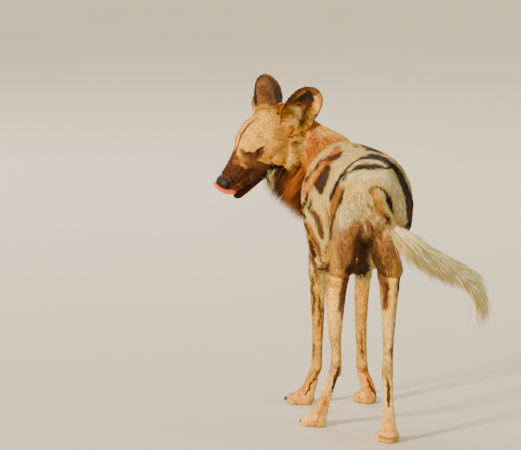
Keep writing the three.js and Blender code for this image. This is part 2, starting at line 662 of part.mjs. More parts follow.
// The tail, parted across its root
const brushSeam = [vec(30, -119, 508), vec(0.75, -0.08, -0.6)];
const rightThigh = thigh(1, LEGS.hind_right, GAP);
nodes.tail_root = cutAway(tailRoot().solid({ sides: 10, rings: 9 }), trunk(GAP),
  ...thigh(-1, LEGS.hind_left, GAP), ...rightThigh, sideOf(...brushSeam, -GAP));
const brush = join(tailCore().solid({ sides: 8, rings: 9, endCap: 8 }), tailLocks());
nodes.tail_brush = cutAway(brush.intersect(sideOf(...brushSeam)), ...rightThigh, trunk(GAP));

// The ruff joins the neck, clear of the head, the jaw and the breast
const roundRuff = join(
  inBody(headFlesh(GAP)), inBody(lowerJaw(GAP)), trunk(GAP), ...shoulder(-1, GAP),
  neckSolid(GAP).subtract(neckRegion));
nodes.neck = largest(nodes.neck.add(join(ruffLocks()).subtract(roundRuff)));

const LOOKS = {
  head: 'tan', neck: 'rust', torso: 'cream', rump: 'cream', nose: 'noseLeather', tongue: 'tongue',
  lower_jaw: 'blackBrown', ear_left: 'blackBrown', ear_right: 'blackBrown', eye_left: 'blackBrown',
  eye_right: 'blackBrown', tail_brush: 'cream',
};
const look = (name) => finish[name.startsWith('claw') ? 'claw' : (LOOKS[name] ?? 'tan')];
const meshOf = (name, solid) => {
  const mesh = new THREE.Mesh(geometryOf(settled(solid)), look(name));
  mesh.name = name;
  return mesh;
};

const dog = new THREE.Group();
const headGroup = new THREE.Group();
headGroup.applyMatrix4(headFrame);
for (const [leg, { foot, toeTurn }] of Object.entries(LEGS)) {
  TOES.forEach((toe, index) => {
    nodes[`claw_${leg}_${index + 1}`] = clawSolid(foot, toeTurn, toe);
  });
}
for (const [name, solid] of Object.entries(nodes)) dog.add(meshOf(name, solid));
for (const [name, solid] of Object.entries(headPieces)) headGroup.add(meshOf(name, solid));
dog.add(headGroup);

const box = new THREE.Box3().setFromObject(dog, true);
dog.position.set(-(box.min.x + box.max.x) / 2, -(box.min.y + box.max.y) / 2, -box.min.z);

export default dog;
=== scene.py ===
"""A life-size african wild dog that stands on four legs and looks back over its left shoulder.

The measured frame gives every place and size. This script dresses it with one skin, a coat of
solid tufts, the painted markings, the closed eyes, the nose, the tongue, the whiskers and claws.
"""

import math

import bmesh
import bpy
import numpy as np
from bpy.props import FloatProperty, FloatVectorProperty, PointerProperty
from mathutils import Euler, Matrix, Vector
from mathutils.bvhtree import BVHTree
from mathutils.kdtree import KDTree


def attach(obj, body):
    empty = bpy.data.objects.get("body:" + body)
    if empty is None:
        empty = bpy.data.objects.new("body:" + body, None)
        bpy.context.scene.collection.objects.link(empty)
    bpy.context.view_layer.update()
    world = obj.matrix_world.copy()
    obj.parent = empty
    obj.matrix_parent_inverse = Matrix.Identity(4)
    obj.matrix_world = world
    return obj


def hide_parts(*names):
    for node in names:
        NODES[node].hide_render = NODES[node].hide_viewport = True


bl_info = {
    "name": "African Wild Dog",
    "version": (1, 0, 0),
    "blender": (4, 5, 0),
    "location": "View3D > Sidebar > Wild Dog",
    "description": "Skin, coat, markings and face of a life-size african wild dog",
    "category": "Object",
}

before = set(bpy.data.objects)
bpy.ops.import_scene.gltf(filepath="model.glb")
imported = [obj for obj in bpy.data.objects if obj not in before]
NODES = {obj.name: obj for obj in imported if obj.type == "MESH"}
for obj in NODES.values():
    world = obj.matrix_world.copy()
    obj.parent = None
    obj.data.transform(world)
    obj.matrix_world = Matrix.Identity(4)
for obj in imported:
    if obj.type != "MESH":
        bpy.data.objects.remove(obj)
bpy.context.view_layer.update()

MM = 0.001
# The ground under the hips, from which the dog's own sizes are measured, in the frame's millimetres
HIPS_MM = Vector((8.018, -283.182, 0.0))

# The photograph's frame and the camera's place in it
PHOTO_SIZE = (521, 450)
VIEW_TARGET = Vector((-0.2337, -0.1806, 0.4851))
VIEW_AZIMUTH = math.radians(-8)
VIEW_ELEVATION = math.radians(8)
VIEW_DISTANCE = 15.0
VIEW_WIDTH = 1.1983
SENSOR_WIDTH = 36.0
VIEW_RIGHT = np.array([math.cos(VIEW_AZIMUTH), math.sin(VIEW_AZIMUTH), 0.0])
VIEW_FORWARD = np.array([
    -math.sin(VIEW_AZIMUTH) * math.cos(VIEW_ELEVATION),
    math.cos(VIEW_AZIMUTH) * math.cos(VIEW_ELEVATION),
    -math.sin(VIEW_ELEVATION),
])
VIEW_UP = np.cross(VIEW_RIGHT, VIEW_FORWARD)
VIEW_PLACE = np.array(VIEW_TARGET) - VIEW_FORWARD * VIEW_DISTANCE
VIEW_SCALE = VIEW_DISTANCE * PHOTO_SIZE[0] / VIEW_WIDTH
PIXEL_MM = 1000 * VIEW_WIDTH / PHOTO_SIZE[0]

# The head's own frame: x to the nose, y to its left side, z over the crown
HEAD_PLACE_MM = Vector((-99, 628, 664))
HEAD_TURN = Euler((math.radians(-22.6), math.radians(41), math.radians(90 + 93.4)), "XYZ")


def row(point):
    """A point in millimetres from the ground under the hips, in the frame's metres."""
    return (Vector(point) + HIPS_MM) * MM


HEAD = Matrix.Translation(row(HEAD_PLACE_MM)) @ HEAD_TURN.to_matrix().to_4x4()


def on_head(point):
    """A point of the head's own frame, in millimetres, in the frame's metres."""
    return HEAD @ (Vector(point) * MM)


def head_way(direction):
    """A direction of the head's own frame, in the measured frame."""
    return (HEAD.to_3x3() @ Vector(direction)).normalized()


# Regions of the skin

EARS = ("ear_left", "ear_right")
LEGS = ("foreleg_left", "foreleg_right", "hindleg_left", "hindleg_right")
FEET = ("forepaw_left", "forepaw_right", "hindfoot_left", "hindfoot_right")
FLESH = ("head", "lower_jaw", "torso", "rump", "tail_root", *EARS, *LEGS, *FEET)
REGIONS = (*FLESH, "neck", "tail_brush")
REGION = {name: number for number, name in enumerate(REGIONS)}

# Rings of the throat and neck under the ruff, and of the tail under its brush: place, half width,
# and half height above and below, in millimetres
NECK_CORE = (
    ((-5, 452, 528), 66, 92, 96),
    ((-10, 520, 556), 64, 86, 92),
    ((-27, 576, 572), 60, 78, 84),
    ((-60, 612, 592), 57, 72, 74),
    ((-92, 624, 618), 54, 64, 62),
    ((-116, 624, 636), 46, 50, 48),
)
TAIL_CORE = (
    ((29, -119, 509), 13, 12, 15),
    ((56, -124, 488), 12, 10, 16),
    ((96, -128, 457), 11, 9, 15),
    ((140, -128, 431), 10, 8, 13),
    ((184, -125, 406), 8, 7, 10),
    ((212, -121, 381), 6, 5, 8),
    ((226, -118, 358), 3, 3, 4),
)


class WildDogSizes(bpy.types.PropertyGroup):
    """The sizes that a user would change."""

    skin_voxel: FloatProperty(
        name="Skin grain", description="Side of one face of the face's, ears' and feet's skin",
        default=0.0021, unit="LENGTH", subtype="DISTANCE")
    coat_back: FloatProperty(
        name="Back coat", description="Length of the hair on the back and sides",
        default=0.020, unit="LENGTH", subtype="DISTANCE")
    coat_leg: FloatProperty(
        name="Leg coat", description="Length of the hair on the legs",
        default=0.010, unit="LENGTH", subtype="DISTANCE")
    coat_face: FloatProperty(
        name="Face coat", description="Length of the hair on the face",
        default=0.007, unit="LENGTH", subtype="DISTANCE")
    ruff: FloatProperty(
        name="Ruff", description="Length of the hair under the throat",
        default=0.060, unit="LENGTH", subtype="DISTANCE")
    brush: FloatProperty(
        name="Tail brush", description="Length of the hair of the tail",
        default=0.075, unit="LENGTH", subtype="DISTANCE")


def colour_property(name, description, value):
    """A colour of the coat as a property."""
    return FloatVectorProperty(name=name, description=description, default=value,
                               size=3, min=0.0, max=1.0, subtype="COLOR")


class WildDogColours(bpy.types.PropertyGroup):
    """The colours of the coat and of the bare skin."""

    cream: colour_property("Cream", "White patches, rump and tail brush", (0.96, 0.70, 0.25))
    white: colour_property("White", "The whitest hair", (0.99, 0.85, 0.46))
    pale: colour_property("Pale", "Light yellow forehead and cheek edge", (0.95, 0.50, 0.08))
    sand: colour_property("Sand", "Face and lower legs", (0.84, 0.43, 0.055))
    tan: colour_property("Tan", "Tan patches", (0.50, 0.20, 0.024))
    rust: colour_property("Rust", "Neck", (0.72, 0.21, 0.012))
    umber: colour_property("Umber", "Grizzled haunches and ears", (0.16, 0.064, 0.020))
    dun: colour_property("Dun", "Grizzled hair of the haunches", (0.49, 0.235, 0.075))
    brown: colour_property("Brown", "Dark brown patches", (0.070, 0.020, 0.006))
    black: colour_property("Black", "Black bands and edges", (0.014, 0.011, 0.010))
    russet: colour_property("Russet", "Long dark hair of the throat", (0.24, 0.065, 0.012))
    # Painted sheen: grey that stands for light glancing off black hair
    steel: colour_property("Steel", "Grey hair over black", (0.055, 0.046, 0.042))


# Helpers


def evaluated_mesh(piece):
    """The piece's mesh with its modifiers applied."""
    graph = bpy.context.evaluated_depsgraph_get()
    graph.update()
    return bpy.data.meshes.new_from_object(piece.evaluated_get(graph))


def bake_modifiers(piece):
    """Applies every modifier of a piece to its mesh."""
    old = piece.data
    piece.data = evaluated_mesh(piece)
    piece.modifiers.clear()
    bpy.data.meshes.remove(old)


def placed(name, data):
    """A new object of the scene that holds some data."""
    made = bpy.data.objects.new(name, data)
    bpy.context.scene.collection.objects.link(made)
    return made


def piece_from(name, bm):
    """A new object at the origin that holds a bmesh."""
    mesh = bpy.data.meshes.new(name)
    bm.to_mesh(mesh)
    bm.free()
    return placed(name, mesh)


def remeshed(piece, voxel):
    """Turns a piece's bodies into one smooth surface of even faces."""
    remesh = piece.modifiers.new("one_surface", "REMESH")
    remesh.mode = "VOXEL"
    remesh.voxel_size = voxel
    remesh.use_smooth_shade = True
    bake_modifiers(piece)


def finish_piece(piece, material):
    """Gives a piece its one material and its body."""
    piece.data.materials.clear()
    piece.data.materials.append(material)
    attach(piece, "root")


def vertex_array(mesh, normals=False):
    """The places or normals of a mesh's vertices, one row each."""
    out = np.zeros(len(mesh.vertices) * 3, np.float32)
    if normals:
        mesh.vertex_normals.foreach_get("vector", out)
    else:
        mesh.vertices.foreach_get("co", out)
    return out.reshape(-1, 3).astype(float)


def smoothstep(low, high, value):
    """0 below low, 1 above high, and a smooth step between them."""
    t = np.clip((value - low) / (high - low), 0.0, 1.0)
    return t * t * (3 - 2 * t)


def unit(rows):
    """Each row at length one."""
    return rows / np.maximum(np.linalg.norm(rows, axis=-1, keepdims=True), 1e-9)


def flat_on(normal, ways):
    """Each way laid on the surface at length one."""
    return unit(ways - normal * np.sum(ways * normal, axis=1, keepdims=True))


def flowing(stations, steps):
    """Rows of numbers passed through smoothly, with steps rows from each station to the next."""
    rows = np.array(stations, float)
    padded = np.vstack([2 * rows[0] - rows[1], rows, 2 * rows[-1] - rows[-2]])
    out = []
    for i in range(1, len(padded) - 2):
        a, b, c, d = padded[i - 1:i + 3]
        for step in range(steps):
            t = step / steps
            out.append(0.5 * (2 * b + (c - a) * t + (2 * a - 5 * b + 4 * c - d) * t ** 2
                              + (3 * b - a - 3 * c + d) * t ** 3))
    out.append(rows[-1])
    return np.array(out)


def swept(stations, sides=20, steps=3, upright=(0, 0, 1)):
    """A closed bmesh swept through rings, each given by its place, half width and half heights."""
    flat = flowing([(*place, wide, up, down) for place, wide, up, down in stations], steps)
    places = np.array([row(p[:3]) for p in flat])
    along = unit(np.gradient(places, axis=0))
    across = unit(np.cross(np.array(upright, float), along))
    over = np.cross(along, across)
    bm = bmesh.new()
    rings = []
    for place, side, top, sizes in zip(places, across, over, flat[:, 3:]):
        ring = bmesh.ops.create_circle(bm, cap_ends=False, segments=sides, radius=1.0)["verts"]
        wide, up, down = sizes * MM
        for vert in ring:
            high = up if vert.co.y > 0 else down
            vert.co = Vector(place + side * vert.co.x * wide + top * vert.co.y * high)
        rings.append(ring)
    for first, second in zip(rings, rings[1:]):
        edges = {e for v in (*first, *second) for e in v.link_edges}
        between = [e for e in edges if not e.link_faces or e.is_boundary]
        bmesh.ops.bridge_loops(bm, edges=between)
    bmesh.ops.holes_fill(bm, edges=[e for e in bm.edges if e.is_boundary], sides=0)
    bmesh.ops.recalc_face_normals(bm, faces=bm.faces)
    return bm


# The photograph's frame


def photo_place(points):
    """Where points fall in the photograph, in its pixels, and how far off they are."""
    ahead = np.asarray(points, float) - VIEW_PLACE
    depth = ahead @ VIEW_FORWARD
    across = PHOTO_SIZE[0] / 2 + VIEW_SCALE * (ahead @ VIEW_RIGHT) / depth
    down = PHOTO_SIZE[1] / 2 - VIEW_SCALE * (ahead @ VIEW_UP) / depth
    return across, down, depth


def make_camera():
    """The camera stands behind the dog and a little to its left, as the photograph's did."""
    lens = bpy.data.cameras.new("photo_view")
    lens.sensor_width = SENSOR_WIDTH
    lens.sensor_fit = "HORIZONTAL"
    lens.lens = SENSOR_WIDTH * VIEW_DISTANCE / VIEW_WIDTH
    lens.clip_end = 200.0
    camera = placed("photo_view", lens)
    axes = np.column_stack([VIEW_RIGHT, VIEW_UP, -VIEW_FORWARD])
    camera.matrix_world = Matrix.Translation(Vector(VIEW_PLACE)) @ Matrix(axes.tolist()).to_4x4()
    bpy.context.scene.camera = camera


# Materials

# How high a plain finish stands out, in metres
BUMP = 0.0004


def new_material(name, roughness, specular=0.3):
    """A material with its shader, and its node tree ready for a pattern."""
    material = bpy.data.materials.new(name)
    material.use_nodes = True
    shader = material.node_tree.nodes["Principled BSDF"]
    shader.inputs["Roughness"].default_value = roughness
    shader.inputs["Specular IOR Level"].default_value = specular
    return material, shader


def wire(material, output, socket):
    """Links an output to an input of a material's nodes."""
    material.node_tree.links.new(output, socket)


def noise_node(material, scale, detail=4.0):
    """Noise on the piece's own coordinates."""
    nodes = material.node_tree.nodes
    coords = nodes.new("ShaderNodeTexCoord")
    noise = nodes.new("ShaderNodeTexNoise")
    noise.inputs["Scale"].default_value = scale
    noise.inputs["Detail"].default_value = detail
    wire(material, coords.outputs["Object"], noise.inputs["Vector"])
    return noise


def varied(material, shader, colour_output, noise, low, high):
    """Colours the shader, made darker and lighter by a noise."""
    nodes = material.node_tree.nodes
    spread = nodes.new("ShaderNodeMapRange")
    for name, value in (("From Min", 0.3), ("From Max", 0.7), ("To Min", low), ("To Max", high)):
        spread.inputs[name].default_value = value
    wire(material, noise.outputs["Fac"], spread.inputs["Value"])
    scale = nodes.new("ShaderNodeVectorMath")
    scale.operation = "SCALE"
    wire(material, colour_output, scale.inputs[0])
    wire(material, spread.outputs["Result"], scale.inputs["Scale"])
    wire(material, scale.outputs["Vector"], shader.inputs["Base Color"])


def flat_colour(material, colour):
    """One colour as an output of a material's nodes."""
    base = material.node_tree.nodes.new("ShaderNodeRGB")
    base.outputs["Color"].default_value = (*colour, 1.0)
    return base.outputs["Color"]


def bumped(material, shader, noise, distance):
    """Raises the surface a little by a noise."""
    bump = material.node_tree.nodes.new("ShaderNodeBump")
    bump.inputs["Strength"].default_value = 0.5
    bump.inputs["Distance"].default_value = distance
    wire(material, noise.outputs["Fac"], bump.inputs["Height"])
    wire(material, bump.outputs["Normal"], shader.inputs["Normal"])


def coat_material(name, roughness, low, high, grain):
    """Hair that takes its colour from the painted markings."""
    material, shader = new_material(name, roughness, 0.25)
    markings = material.node_tree.nodes.new("ShaderNodeAttribute")
    markings.attribute_name = "coat_colour"
    noise = noise_node(material, grain, 3.0)
    varied(material, shader, markings.outputs["Color"], noise, low, high)
    return material, shader, noise


def plain_material(name, colour, roughness, grain):
    """A finish of one colour with fine mottling."""
    material, shader = new_material(name, roughness)
    noise = noise_node(material, grain)
    varied(material, shader, flat_colour(material, colour), noise, 0.8, 1.15)
    bumped(material, shader, noise, BUMP)
    return material


# The skin

# How far each body grows past the cut to its neighbour, and how much an ear's thin wall is
# thickened, in metres
SEAM_GROWTH = 0.0004
EAR_GROWTH = 0.0008
# The share of the hair's length by which the skin lies under the CAD surface
SKIN_DEPTH = 0.12
SKIN_TRIANGLES = 190000
# What keeps its fine faces: these regions, but not the head behind this place in its own frame
FINE_REGIONS = ("head", "lower_jaw", *EARS, *FEET)
BACK_OF_FACE_MM = 76
# How much of the smoothing they take
FINE_SOFTNESS = 0.12
# Rounds of smoothing for facets, thighs, the hair's length and lie, and the edges between regions
FACET_ROUNDS = 12
THIGH_ROUNDS = 40
HAIR_ROUNDS = 30
EDGE_ROUNDS = 10
# The fleshy root of each ear: its place and reach in the ear's frame
EAR_BUTTS = {"ear_left": ((-7, 0, 8), (15, 27, 22)), "ear_right": ((-6, 0, 12), (12, 41, 33))}
# What the head has behind and below its seams: place and reach in the head's frame
NAPE = ((6, 0, 3), (34, 45, 45))


def merged(name, grow):
    """A CAD node's mesh with its loose triangles merged, grown outward by some metres."""
    bm = bmesh.new()
    bm.from_mesh(NODES[name].data)
    bmesh.ops.remove_doubles(bm, verts=bm.verts, dist=1e-6)
    bm.normal_update()
    for vert in bm.verts:
        vert.co += vert.normal * grow
    return bm


def flesh_sources():
    """Each region's closed body under the coat, as region number and bmesh."""
    bodies = [(REGION[name], merged(name, EAR_GROWTH if name in EARS else SEAM_GROWTH))
              for name in FLESH]
    rounded = [(REGION["head"], ear_frame(name), *EAR_BUTTS[name]) for name in EARS]
    for region, matrix, place, reach in (*rounded, (REGION["neck"], HEAD, *NAPE)):
        bm = bmesh.new()
        bmesh.ops.create_uvsphere(bm, u_segments=24, v_segments=16, radius=1.0)
        shape = Matrix.Translation(Vector(place)) @ Matrix.Diagonal((*reach, 1))
        bmesh.ops.transform(bm, matrix=matrix @ Matrix.Scale(MM, 4) @ shape, verts=bm.verts)
        bodies.append((region, bm))
    bodies.append((REGION["neck"], swept(NECK_CORE)))
    bodies.append((REGION["tail_brush"], swept(TAIL_CORE, sides=12)))
    return bodies


def region_tree(sources):
    """A tree of the sources' faces, and each face's region."""
    corners = []
    faces = []
    regions = []
    for region, bm in sources:
        start = len(corners)
        bm.verts.index_update()
        corners += [v.co.copy() for v in bm.verts]
        faces += [[start + v.index for v in f.verts] for f in bm.faces]
        regions += [region] * len(bm.faces)
    return BVHTree.FromPolygons(corners, faces), np.array(regions)


def largest_shell(mesh):
    """Deletes every loose shell of a mesh but the largest."""
    bm = bmesh.new()
    bm.from_mesh(mesh)
    bm.verts.ensure_lookup_table()
    shell = np.full(len(bm.verts), -1)
    sizes = []
    for start in bm.verts:
        if shell[start.index] >= 0:
            continue
        number = len(sizes)
        shell[start.index] = number
        waiting = [start]
        count = 0
        while waiting:
            vert = waiting.pop()
            count += 1
            for edge in vert.link_edges:
                other = edge.other_vert(vert)
                if shell[other.index] < 0:
                    shell[other.index] = number
                    waiting.append(other)
        sizes.append(count)
    keep = int(np.argmax(sizes))
    scraps = [v for v in bm.verts if shell[v.index] != keep]
    bmesh.ops.delete(bm, geom=scraps, context="VERTS")
    bm.to_mesh(mesh)
    bm.free()


def blurred(values, edges, count, rounds):
    """Values of the vertices averaged with their neighbours' over the mesh's edges."""
    columns = values.astype(float).reshape(count, -1).copy()
    degree = np.maximum(np.bincount(edges.ravel(), minlength=count), 1)
    for _ in range(rounds):
        for k in range(columns.shape[1]):
            one = columns[:, k]
            total = (np.bincount(edges[:, 0], one[edges[:, 1]], count)
                     + np.bincount(edges[:, 1], one[edges[:, 0]], count))
            columns[:, k] = 0.5 * (one + total / degree)
    return columns.reshape(values.shape)


def move_vertices(mesh, place):
    """Puts a mesh's vertices at new places."""
    mesh.vertices.foreach_set("co", place.astype(np.float32).ravel())
    mesh.update()


def edge_array(mesh):
    """The vertex pairs of a mesh's edges."""
    out = np.zeros(len(mesh.edges) * 2, np.int32)
    mesh.edges.foreach_get("vertices", out)
    return out.reshape(-1, 2)


def set_point_attribute(mesh, name, kind, values):
    """Writes one value for each vertex into a named attribute."""
    attribute = mesh.attributes.get(name) or mesh.attributes.new(name, kind, "POINT")
    field = {"FLOAT": "value", "FLOAT_VECTOR": "vector", "FLOAT_COLOR": "color"}[kind]
    attribute.data.foreach_set(field, np.asarray(values, np.float32).ravel())


def set_coat_colour(mesh, colour):
    """Writes the painted markings where the coat's materials read them."""
    rows = np.column_stack([colour, np.ones(len(colour))])
    set_point_attribute(mesh, "coat_colour", "FLOAT_COLOR", rows)


def get_point_attribute(mesh, name, width=1):
    """Reads a named attribute of the vertices, as rows if it is a vector."""
    out = np.zeros(len(mesh.vertices) * width, np.float32)
    mesh.attributes[name].data.foreach_get("vector" if width > 1 else "value", out)
    return out.reshape(-1, width) if width > 1 else out


def region_array(mesh):
    """The region number of each vertex."""
    return np.rint(get_point_attribute(mesh, "region")).astype(int)


# How the hair lies and how long it is

DOWN_THE_BACK = (0.0, -1.0, -0.35)
LIES = (
    (("rump",), (0.0, -0.35, -1.0)),
    ((*LEGS, *FEET), (0.0, -0.1, -1.0)),
    (("head", "lower_jaw"), head_way((-1.0, 0.0, -0.3))),
    (("ear_left",), head_way((-0.89, 0.24, 0.39))),
    (("ear_right",), head_way((-0.611, -0.751, 0.256))),
    (("neck",), (0.45, -0.65, -0.55)),
    (("tail_root",), (0.25, -0.5, -0.7)),
)
# Lengths of hair, in metres, where no property gives them
HAIR_LENGTHS = {**dict.fromkeys(FEET, 0.006), "rump": 0.016, "neck": 0.026, "tail_root": 0.016}


def of_regions(region, names):
    """Which of the region numbers belong to the named regions."""
    return np.isin(region, [REGION[name] for name in names])


def lie_of_coat(region, place, normal):
    """Which way the hair lies on the surface at each vertex."""
    lie = np.tile(np.array(DOWN_THE_BACK), (len(place), 1))
    for names, way in LIES:
        lie[of_regions(region, names)] = way
    brush = region == REGION["tail_brush"]
    core = np.array([row(station[0]) for station in TAIL_CORE])
    nearest = np.argmin(np.linalg.norm(place[brush][:, None] - core[None], axis=2), axis=1)
    lie[brush] = unit(np.gradient(core, axis=0))[nearest]
    return flat_on(normal, lie)


def coat_depth(region, sizes):
    """Length of the hair at each vertex by its region."""
    table = np.full(len(REGIONS), sizes.coat_back)
    for name in ("head", "lower_jaw", *EARS):
        table[REGION[name]] = sizes.coat_face
    for name in LEGS:
        table[REGION[name]] = sizes.coat_leg
    for name, length in HAIR_LENGTHS.items():
        table[REGION[name]] = length
    return table[region]


# Markings
#
# A mark is a stroke with its colour, the softness of its edge, the regions that it may paint, and
# its path of places and radii, all in the photograph's pixels. A seen mark fades where the coat
# turns away. A face mark is laid on the head and repeated on its other side, but one for MIDDLE
# runs along the middle of the head. An ear's marks are laid on the ear that shows them.

TRUNK = ("torso", "rump", *LEGS)
HEAD_SKIN = ("head", "lower_jaw")
TAIL_TOP = ("tail_root", "rump", "tail_brush")
LEFT_FORE = ("foreleg_left", "forepaw_left")
RIGHT_FORE = ("foreleg_right", "forepaw_right")
LEFT_HIND = ("hindleg_left", "hindfoot_left")
RIGHT_HIND = ("hindleg_right", "hindfoot_right")

